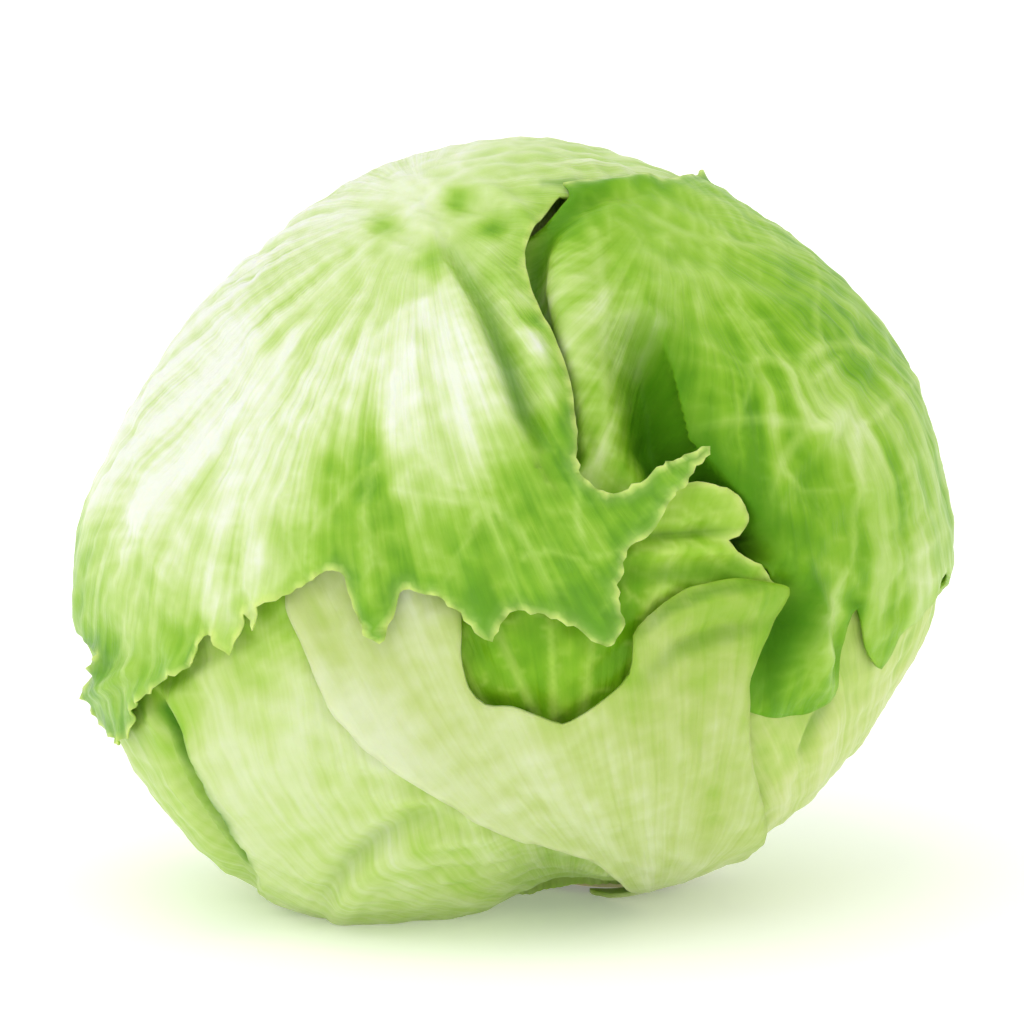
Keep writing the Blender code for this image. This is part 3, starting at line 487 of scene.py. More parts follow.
def addBlade(name, node, leaf, seed):
    planes = flatFrame(leaf)
    margin, fineMargin, outline = cutOutline(leaf, planes, seed)
    mesh = fillOutline(name, outline, leaf["cell"])
    plan = np.empty(3 * len(mesh.vertices))
    mesh.vertices.foreach_get("co", plan)
    plan = plan.reshape(-1, 3)[:, :2]
    directions = drape(planes, plan)
    depth = blended(leaf["depth"], directions, blade["depthReach"])
    relief = reliefOf(leaf, directions)
    ruffle, along = ruffleOf(leaf, plan, margin)
    reach, _ = nearestOn(plan, fineMargin)
    near = reach < blade["marginZone"]
    reach[near] = np.abs(lineReach(plan[near], [(*point, 0) for point in fineMargin])[0])

    # veins, and flutes that run with the fibres from where they spread
    mains = mainVeins(leaf, planes)
    drawn, _ = veinsAt(mains, plan)
    fine, gaps = veinsAt(np.vstack([mains, growVeins(leaf, mains, outline, seed + 40)]), plan)
    veins = np.maximum(drawn, fine)
    start = flatten(planes, directionOf(leaf["fan"]))
    way = flatten(planes, directionOf(leaf["fanWay"])) - start
    way /= np.linalg.norm(way)
    ahead, aside = (plan - start) @ way, (plan - start) @ np.array([-way[1], way[0]])
    turn, run = np.arctan2(aside, ahead), np.hypot(ahead, aside)
    fibre = np.clip((run - blade["fanStart"]) / blade["fanBuild"], 0, 1)
    fibre *= np.clip((blade["fanTurn"] - np.abs(turn)) / 0.35, 0, 1)
    flutes = fibre * waves(np.column_stack([turn * blade["fanPitch"], run]), *blade["fluteWaves"], seed + 60)
    puckers = waves(plan, *blade["puckerWaves"], seed + 80)
    flutter = 0.5 + 0.5 * np.sin(along * 1.15 + 2 * np.sin(along * 0.31))
    curl = leaf["curl"] * flutter * np.clip(1 - reach / blade["curlReach"], 0, 1) ** 2
    curl *= teethShare(leaf, planes, plan)
    radius = headRadius(directions) - depth + relief + ruffle + curl
    radius += crinkle(directions) + leaf["veinHeight"] * veins * np.clip(1 + relief / 5, 0, 1)
    radius += leaf["fluteHeight"] * flutes + leaf["puckerHeight"] * puckers
    places = directions * resting(radius, depth, directions)[:, None]
    for line, right, left, (wayRight, wayUp) in leaf["pulls"]:
        signed, size = lineReach(places[:, :2], line)
        size = np.where(places[:, 2] > 0, size * bump(signed / np.where(signed < 0, right, left)), 0)
        places += size[:, None] * np.array([wayRight, wayUp, 0])
    mesh.vertices.foreach_set("co", (onFloor(places) * mm).ravel())
    mesh.update()
    mesh.shade_smooth()

    # how green each point is, its painted shade in folds and hollows, how near a vein it is, and the painted
    # highlight along its torn margin
    surface = directions * headRadius(directions)[:, None]
    green = blended(leaf["tints"], directions, leaf["tintReach"])
    for *place, change, radius in leaf["blotches"]:
        side = back if len(place) == 3 else 1
        away = np.hypot(*(surface[:, :2] - place[:2]).T) / radius
        green += change * np.exp(-away**2) * shownOn(surface[:, 2], side)
    green += leaf["marginGreen"] * np.exp(-((reach / leaf["marginReach"]) ** 2))
    green += colouring["gapGreen"] * (1 - np.exp(-((gaps / colouring["veinGap"]) ** 2)))
    green -= colouring["fluteGreen"] * flutes + colouring["puckerGreen"] * puckers
    # painted shade: darker the deeper a point lies in a fold or hollow, and along the leaf's listed lines of
    # painted shade
    shade = np.clip((-relief - colouring["shadeFrom"]) / colouring["shadeRun"], 0, 1)
    for line, width, amount in leaf["paintedShades"]:
        signed, part = lineReach(surface[:, :2], line)
        shade = np.maximum(shade, amount * part * bump(signed / width) * shownOn(surface[:, 2], 1))
    shade = np.clip(shade, 0, 1)
    # painted highlight along the torn margin, strongest where the edge curls up
    edgeHighlight = np.exp(-reach / colouring["edgeHighlightWidth"])
    edgeHighlight *= colouring["edgeHighlightLeast"] + (1 - colouring["edgeHighlightLeast"]) * flutter
    # the margin mark carries the painted highlight, the shade mark the painted shade
    marks = {"green": green, "shade": shade, "vein": veins * (1 - shade), "fibre": fibre, "margin": edgeHighlight}
    storeMarks(mesh, marks, {"plan": plan / 10, "fan": np.column_stack([turn * 6, run / 10])})

    piece = linked(name, mesh)
    group = piece.vertex_groups.new(name="thick")
    thick = np.clip(reach / blade["thinReach"], 0, 1)
    for level in range(11):
        group.add(np.flatnonzero(np.round(thick * 10) == level).tolist(), level / 10, "REPLACE")
    wall = piece.modifiers.new("thickness", "SOLIDIFY")
    wall.thickness = blade["thickness"] * mm
    wall.offset = -1
    wall.vertex_group = "thick"
    wall.thickness_vertex_group = blade["edgeThickness"]
    mesh.materials.append(leafMaterial(name, leaf["look"]))
    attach(piece, "root")
    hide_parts(node)
    print("blade", name, len(mesh.polygons), "faces a side")


# Materials

def linear(colour):
    # screen colour to the shader's own
    return tuple((c / 255 / 12.92) if c < 10.3 else ((c / 255 + 0.055) / 1.055) ** 2.4 for c in colour) + (1,)


class nodeBench:
    # adds and joins the nodes of one material
    def __init__(self, name):
        self.material = bpy.data.materials.new(name)
        self.material.use_nodes = True
        self.tree = self.material.node_tree
        self.shader = self.tree.nodes["Principled BSDF"]

    def add(self, kind, inputs=(), output=0, **settings):
        node = self.tree.nodes.new(kind)
        for key, value in settings.items():
            setattr(node, key, value)
        for key, value in dict(inputs).items():
            if isinstance(value, bpy.types.NodeSocket):
                self.tree.links.new(value, node.inputs[key])
            else:
                node.inputs[key].default_value = value
        return node.outputs[output]

    def plus(self, first, second, clamp=False):
        return self.add("ShaderNodeMath", {0: first, 1: second}, operation="ADD", use_clamp=clamp)

    def minus(self, first, second, clamp=False):
        return self.add("ShaderNodeMath", {0: first, 1: second}, operation="SUBTRACT", use_clamp=clamp)

    def times(self, first, second):
        return self.add("ShaderNodeMath", {0: first, 1: second}, operation="MULTIPLY")

    def attribute(self, name):
        return self.add("ShaderNodeAttribute", output="Fac", attribute_name=name)

    def noise(self, vector, scale, detail, stretch=(1, 1, 1)):
        vector = self.add("ShaderNodeMapping", {"Vector": vector, "Scale": stretch})
        values = {"Vector": vector, "Scale": scale, "Detail": detail}
        return self.add("ShaderNodeTexNoise", values, output="Fac")

    def soft(self, value, low, high, bottom=0.0, top=1.0):
        values = {0: value, 1: low, 2: high, 3: bottom, 4: top}
        return self.add("ShaderNodeMapRange", values, interpolation_type="SMOOTHSTEP")

    def mix(self, share, first, second):
        return self.add("ShaderNodeMix", {0: share, 6: first, 7: second}, output=2, data_type="RGBA")

    def tint(self, share, amount, first, second):
        return self.mix(self.times(share, amount), first, linear(second))

    def ramp(self, value, stops):
        output = self.add("ShaderNodeValToRGB", {"Fac": value})
        ramp = output.node.color_ramp
        ramp.interpolation = "B_SPLINE"
        while len(ramp.elements) < len(stops):
            ramp.elements.new(1)
        for element, (place, colour) in zip(ramp.elements, stops):
            element.position = place
            element.color = linear(colour)
        return output

    def bump(self, strength, depth, height):
        return self.add("ShaderNodeBump", {"Strength": strength, "Distance": depth, "Height": height})

    def link(self, output, key):
        self.tree.links.new(output, self.shader.inputs[key])

    def fix(self, values):
        for key, value in values.items():
            self.shader.inputs[key].default_value = value


def leafMaterial(name, look):
    bench = nodeBench(name)
    fan = bench.add("ShaderNodeUVMap", uv_map="fan")
    green, shade, fibre = bench.attribute("green"), bench.attribute("shade"), bench.attribute("fibre")
    vein, margin = bench.attribute("vein"), bench.attribute("margin")
    fibres = bench.noise(fan, 1, 3, (look["fibrePitch"], look["fibreRun"], 1))
    fibres = bench.times(bench.minus(fibres, 0.5), fibre)
    plan = bench.add("ShaderNodeUVMap", uv_map="plan")
    mottles = bench.minus(bench.noise(plan, look["mottleScale"], 4), 0.5)

    tone = bench.plus(green, bench.times(fibres, look["fibreTint"]))
    tone = bench.plus(tone, bench.times(mottles, look["mottleTint"]))
    tone = bench.minus(tone, bench.times(vein, look["veinFade"]), clamp=True)
    colour = bench.ramp(tone, look["ramp"])
    colour = bench.tint(vein, look["veinShare"], colour, look["veinColour"])
    # painted highlight along the torn margin
    colour = bench.tint(margin, look["marginShare"], colour, look["marginColour"])
    # painted shade in folds, hollows and gaps
    colour = bench.tint(shade, colouring["paintedShadeShare"], colour, look["paintedShadeColour"])
    bench.link(colour, "Base Color")
    sheen = bench.soft(fibres, -0.3, 0.3, look["roughness"] - 0.07, look["roughness"] + 0.09)
    # rougher under the painted shade, so it keeps no reflection
    sheen = bench.plus(sheen, bench.times(shade, colouring["paintedShadeRoughness"]), clamp=True)
    bench.link(sheen, "Roughness")
    height = bench.plus(bench.times(fibres, colouring["fibreRelief"]), mottles)
    bench.link(bench.bump(look["bump"], colouring["bumpDepth"], height), "Normal")
    bench.fix({
        "Subsurface Weight": look["glow"], "Subsurface Radius": colouring["glowRadius"],
        "Subsurface Scale": colouring["glowScale"], "IOR": 1.4, "Coat Weight": look["wax"],
        "Coat Roughness": 0.28, "Specular IOR Level": look["gloss"],
    })
    return bench.material


def lookOf(**changes):
    look = {
        "ramp": [
            (0, (236, 241, 230)), (0.25, (206, 226, 152)), (0.55, (156, 196, 62)), (0.8, (118, 172, 18)),
            (1, (86, 144, 4)),
        ],
        "veinColour": (192, 216, 130),
        # colours of the painted highlight along a torn margin and of the painted shade in folds, hollows and
        # gaps
        "marginColour": (214, 237, 132),
        "paintedShadeColour": (66, 124, 2),
        "veinShare": 0.25,
        "veinFade": 0.16,
        "marginShare": 0.9,
        "fibrePitch": 9,
        "fibreRun": 0.32,
        "fibreTint": 0.55,
        "mottleScale": 2.4,
        "mottleTint": 0.16,
        "roughness": 0.4,
        "bump": 0.5,
        "glow": 0.3,
        "wax": 0.05,
        "gloss": 0.22,
    }
    return {**look, **changes}


# Stem: a turned core with a browned cut face
stemValues = {
    "foot": (19, 14),
    "ringRadius": 17,
    "radius": 12.5,
    "buttRadius": 13.5,
    "bevel": 1.5,
    "top": 15,
    "sides": 64,
    "flesh": (226, 226, 178),
    "ringColour": (196, 186, 128),
    "cutColour": (214, 196, 140),
}


def stemMiddle():
    (right, rear), (asideShift, rearShift) = stemValues["foot"], head["shift"]
    return Vector(((right + asideShift) * mm, (rear + rearShift) * mm, 0))


def stemMaterial():
    bench = nodeBench("stemFlesh")
    places = bench.add("ShaderNodeTexCoord", output="Object")
    centred = bench.add("ShaderNodeMapping", {"Vector": places, "Location": -stemMiddle()})
    values = {"Vector": centred, "Scale": 90, "Distortion": 3, "Detail": 2}
    rings = bench.add("ShaderNodeTexWave", values, output="Fac", wave_type="RINGS", rings_direction="Z")
    grain = bench.noise(places, 420, 4)
    browning = bench.soft(bench.noise(places, 130, 3), 0.45, 0.7)
    colour = bench.tint(rings, 0.5, linear(stemValues["flesh"]), stemValues["ringColour"])
    colour = bench.tint(browning, 0.55, colour, stemValues["cutColour"])
    bench.link(colour, "Base Color")
    bench.link(bench.soft(grain, 0.2, 0.8, 0.42, 0.62), "Roughness")
    height = bench.plus(bench.times(rings, 0.5), grain)
    bench.link(bench.bump(0.5, 0.0004, height), "Normal")
    bench.fix({"Subsurface Weight": 0.2, "Subsurface Radius": (1, 0.9, 0.5), "Subsurface Scale": 0.003})
    return bench.material


def addStem(name):
    shape = bmesh.new()
    radius, butt, top = stemValues["radius"], stemValues["buttRadius"], stemValues["top"]
    profile = [(0, top), (radius - 2, top), (radius, top - 3), (butt, 4), (butt, stemValues["bevel"]),
               (butt - 0.8, 0), (butt * 0.5, 0), (0, 0)]
    corners = [shape.verts.new((right * mm, 0, level * mm)) for right, level in profile]
    for start, end in zip(corners[:-1], corners[1:]):
        shape.edges.new((start, end))
    bmesh.ops.spin(
        shape, geom=shape.verts[:] + shape.edges[:], cent=(0, 0, 0), axis=(0, 0, 1), angle=2 * math.pi,
        steps=stemValues["sides"], use_merge=True,
    )
    bmesh.ops.remove_doubles(shape, verts=shape.verts[:], dist=0.01 * mm)
    bmesh.ops.recalc_face_normals(shape, faces=shape.faces[:])
    bmesh.ops.translate(shape, verts=shape.verts[:], vec=stemMiddle())
    # the spin gives its faces in no fixed order, so they are put in that of their corners
    shape.verts.index_update()
    inOrder = sorted(shape.faces, key=lambda face: sorted(vert.index for vert in face.verts))
    for place, face in enumerate(inOrder):
        face.index = place
    shape.faces.sort()
    mesh = meshOf(name, shape)
    mesh.shade_smooth()
    mesh.set_sharp_from_angle(angle=math.radians(40))
    mesh.materials.append(stemMaterial())
    piece = linked(name, mesh)
    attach(piece, "root")
    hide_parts("stem")
    print("stem", len(mesh.polygons), "faces")


addStem("cutStem")

# The leaves, from the outside in. A place may end in back, and its last numbers are the depth below the
# head's surface, the green of a tint, or the height and radius of a spot. A line's points end in a height.
usualLeaf = {
    "folds": [], "backFolds": [], "pulls": [], "spots": [], "calm": [], "blotches": [], "paintedShades": [],
    "veins": [], "backVeins": [], "cell": 2, "curl": 0.9, "marginGreen": 0.25, "marginReach": 4,
    "fineVeins": 0.5,
}

# Left wrapper: up the back, over the top and down the front to a torn margin
leftWrapper = {
    **usualLeaf,
    "middle": (-40, 35),
    "free": [
        (-76.5, -20), (-78.5, -28.5), (-78, -31.5), (-75, -34.5), (-71, -36), (-69.5, -33.5), (-68, -29.5),
        (-64.5, -26), (-61, -23.5), (-57.5, -21), (-56.5, -16.5), (-54, -16.5), (-51.5, -19.5),
        (-50, -15.5), (-48.5, -12), (-46.5, -15), (-45.5, -11), (-42.5, -10), (-36, -6), (-31, -4.5),
        (-29.5, -8.5), (-26, -15.5), (-23.5, -17.5), (-22, -13), (-20, -8), (-13.5, -9.5), (-9.5, -12.5),
        (-3.5, -16.5), (-1.5, -12.5), (4.5, -12), (11, -14.5), (16.5, -17.5), (20.5, -14), (19, -10.5),
        (19, -7), (20, -3), (21.5, 0), (24.5, 1.4), (27, 6), (30, 10.5), (32.5, 14), (34.8, 17.6),
        (26, 13.5), (20, 9.5), (15.5, 10), (12, 13.5), (11.5, 22), (10.5, 29.5), (8, 37), (5, 43),
        (3, 49.5), (2.5, 55.5), (6, 62),
    ],
    "rest": [
        (9, 65.5), (17, 66), (30, 66.5), *behind((42, 61), (44, 48), (39, 30), (33, 12), (28, -6),
        (22, -24), (14, -42)), *ring(118, 140, 165, 188), *behind((-14, -64), (-34, -59), (-52, -50),
        (-64, -40), (-70, -31), (-76, -22), (-79, -14)),
    ],
    "depth": [
        (-40, 10, 0), (0, 20, 0), (-55, 40, 0), (30, 12, -3), (12, 10, -0.6), (-10, 60, 0), (-30, -4, 0.6),
        (10, -12, 0.4), (-76, -26, 0.4), (16, 68, 5.2), (30, 66, back, 4.6), (20, 30, back, 4.4),
        (0, 10, back, 4), (-20, 40, back, 2.4), (-50, 10, back, 1.2), (20, -10, back, 4.4),
        (0, -40, back, 3.8), (-40, -30, back, 1.8), (-60, -40, back, 0.6), (-10, -62, back, 1.6),
    ],
    "folds": [
        ([(-16, 60, 0.5), (-12.5, 50, 2.8), (-7.5, 41, 4), (-4, 31, 4.4), (-1, 22, 4),
          (3, 16, 2.2)], 13, 2.3),
        ([(-10, 52, 0), (-4, 42, -1.4), (-0.5, 32, -2.2), (2.5, 23, -2.2), (6, 18, -1)], 2.4, 4.6),
        ([(-6, 57, 0.6), (-2.5, 48, 1.8), (1, 38, 1.8), (5.5, 28, 1.6), (8, 18, 0.8)], 4, 4.5),
        ([(-26, 58, 0.6), (-21, 46, 1.5), (-18, 32, 1.5), (-15, 16, 0.6)], 5.5, 5.5),
        ([(-22, 66, 0.8), (-13, 67, 1.4), (-2, 65, 1.4), (3, 60, 0.8)], 3.5, 3.5),
        ([(-42, 52, 0.3), (-45, 36, 1.3), (-47, 18, 1.2), (-47, 0, 0.6)], 7, 7),
        ([(-62, 34, 0.3), (-66, 16, 1.2), (-66, 0, 1.2), (-64, -10, 0.5)], 5, 5),
        ([(-77, -27, 1.2), (-74, -25.5, 2), (-70, -22.5, 1.4)], 2.5, 2.5),
        ([(-70.5, -31, 0.4), (-66, -26, 1.2), (-61, -22.5, 1.4), (-56.5, -19, 1), (-50, -16.5, 0.4)], 3, 3),
        ([(8, -2, 0.4), (13, -8, 1.6), (16, -15, 2)], 4, 4),
        ([(-27, 2, 0.4), (-26, -6, 1.8), (-24.5, -15, 2.4)], 4, 4),
        ([(-12, 5, 0.3), (-7, -4, 1.4), (-4, -14, 2)], 4.5, 4.5),
    ],
    "backFolds": [
        ([(-24, -58, 0.6), (-30, -30, 1.6), (-30, 0, 2), (-24, 30, 1.8), (-18, 55, 1),
          (-16, 68, 0.3)], 12, 12),
        ([(-30, -6, 0.4), (-44, 12, 1.2), (-56, 30, 0.5)], 5, 5),
        ([(-28, 8, 0.4), (-12, 26, 1.2), (0, 46, 0.4)], 5, 5),
    ],
    "spots": [(-23, 60, -1, 4.5), (-10.5, 65, -1.1, 4), (-3.5, 59.5, -0.9, 3.5), (-75, -19, -1.2, 5)],
    "ruffle": (1, 15, 6), "ragged": 0.5,
    "calm": [(10, 32, 14), (4, 48, 12), (6, 62, 9), (-76, -31, 7)],
    "cell": 2.34, "teeth": 0.42, "veinHeight": 0.35, "fluteHeight": 0.13, "puckerHeight": 0.14,
    "fineVeins": 0.3,
    "veins": [
        ([(-12.6, 45.3), (-11.5, 36.1), (-9.6, 26.8), (-7.8, 17.6), (-5.4, 8.3)], 1.5, 0.7),
        ([(-5.4, 8.3), (-0.7, 4.6), (3.3, -0.6), (6.1, -6.5), (8.1, -11.3)], 1.3, 0.8),
        ([(-5.4, 8.3), (-2.2, 0.9), (0, -5.5), (1.5, -10.2)], 1.2, 0.8),
        ([(-5.4, 8.3), (-10.5, 8), (-16.1, 8.7), (-20.7, 9.8)], 1.1, 0.6),
        ([(-5.4, 8.3), (-8, 1), (-11, -4), (-12.5, -8)], 1.1, 0.6),
        ([(-26.6, 37), (-29, 31.4), (-33.7, 25.9), (-38.3, 21.3), (-41.6, 18.3)], 1, 0.6),
        ([(-19.8, 29.6), (-18.9, 23.1), (-15.5, 16.6), (-11.5, 12), (-5.4, 8.3)], 1.1, 0.6),
        ([(-39.2, 37.9), (-43.3, 26.8), (-46.2, 13.9), (-48.1, 0.9), (-48.8, -8.3)], 1.4, 0.7),
        ([(-33.7, 36.1), (-39.2, 23.1), (-41.1, 8.3), (-39.2, -2.8), (-35.9, -5.9)], 1.2, 0.6),
        ([(11.7, 13.9), (11.8, 8.3), (12, 2.8), (14.4, -1.9), (21.8, 0)], 1, 0.7),
        ([(-12, 67), (-30, 50), (-48, 34), (-60, 16), (-66, -4)], 1.5, 0.5),
        ([(-24, 14), (-26, 6), (-25, -2), (-27, -7)], 1.1, 0.7),
        ([(-24, 14), (-31, 8), (-36, 2), (-37, -4)], 1, 0.6),
        ([(2, -2), (8, -1), (14, -4), (18, -9)], 0.9, 0.6),
    ],
    "backVeins": [
        ([(8, -44), (-2, -30), (-14, 0), (-16, 30), (-15, 60)], 3.4, 0.9),
        ([(-14, -8), (-30, 10), (-46, 26)], 1.8, 0.7),
        ([(-15, 14), (0, 28), (14, 40)], 1.8, 0.7),
        ([(-12, -22), (-36, -14), (-60, -2)], 1.8, 0.7),
        ([(-16, 30), (-34, 44), (-46, 50)], 1.5, 0.6),
    ],
    # the palest tints, on the left half, are painted highlight for the glare there, over the leaf's own pale
    # colour
    "tints": [
        (-52, 25, 0.04), (-55, 5, 0.16), (-62, 20, 0.1), (-70, -15, 0.4), (-27, 10, 0.62), (-26, 0, 0.66),
        (-32, 45, 0.3), (-13, 28, 0.06), (-10, 18, 0.15), (5, 12, 0.8), (-6, -3, 0.76), (16, -10, 0.8),
        (-24, -12, 0.72), (5, 38, 0.5), (-48, -8, 0.2), (-62, 42, 0.1), (-20, 66, 0.16), (0, 66, 0.36),
        (-42, 12, 0.15), (-36, 28, 0.2), (12, 2, 0.7), (-76, -28, 0.66), (-66, -23, 0.6),
        (0, 60, back, 0.6), (-30, 0, back, 0.4), (20, 20, back, 0.65), (-14, -50, back, 0.12),
        (-70, -10, back, 0.35), (-50, 30, back, 0.4), (-14, 20, back, 0.4),
    ],
    "tintReach": 0.15,
    "blotches": [
        (-23.5, 59, 0.5, 3.2), (-10.5, 64, 0.5, 2.6), (-3.7, 59, 0.5, 2.6), (-29, 12, 0.2, 7),
        (-74, -21, 0.2, 4), (5, 36, -0.4, 3), (2, 45, -0.3, 3), (7, 27, -0.3, 3), (-14, 50, 0.3, 3.4),
        (-40, 2, 0.2, 4), (-52, -2, 0.15, 5),
    ],
    "marginGreen": 0.26,
    # painted shade: under the lobe's margin, in the crease and in the slits above the right wrapper's margin
    "paintedShades": [
        ([(-72, -33, 0.3), (-66, -29, 0.8), (-60, -25, 0.3)], 1.5, 0.4),
        ([(-11, 54, 0.2), (-5, 43, 0.7), (-1, 33, 1), (2, 24, 1), (5, 18, 0.5)], 3, 0.8),
        ([(1, 50, 0.2), (5, 40, 0.6), (8, 30, 0.8), (9.5, 22, 0.6)], 1.6, 0.35),
        ([(6, 69, 0.6), (10, 69.4, 1), (14, 69.8, 0.6)], 1.6, 0.7),
        ([(19.5, 70.6, 0.5), (22.5, 71, 1), (25.5, 70.4, 0.5)], 1.7, 0.7),
    ],
    "fan": (-15, 62), "fanWay": (-30, 0),
    "look": lookOf(
        fibrePitch=7, fibreTint=0.45, veinColour=(190, 216, 130), veinFade=0.2, gloss=0.4, roughness=0.36,
    ),
}
addBlade("leftWrapperBlade", "wrapper_left", leftWrapper, 0)

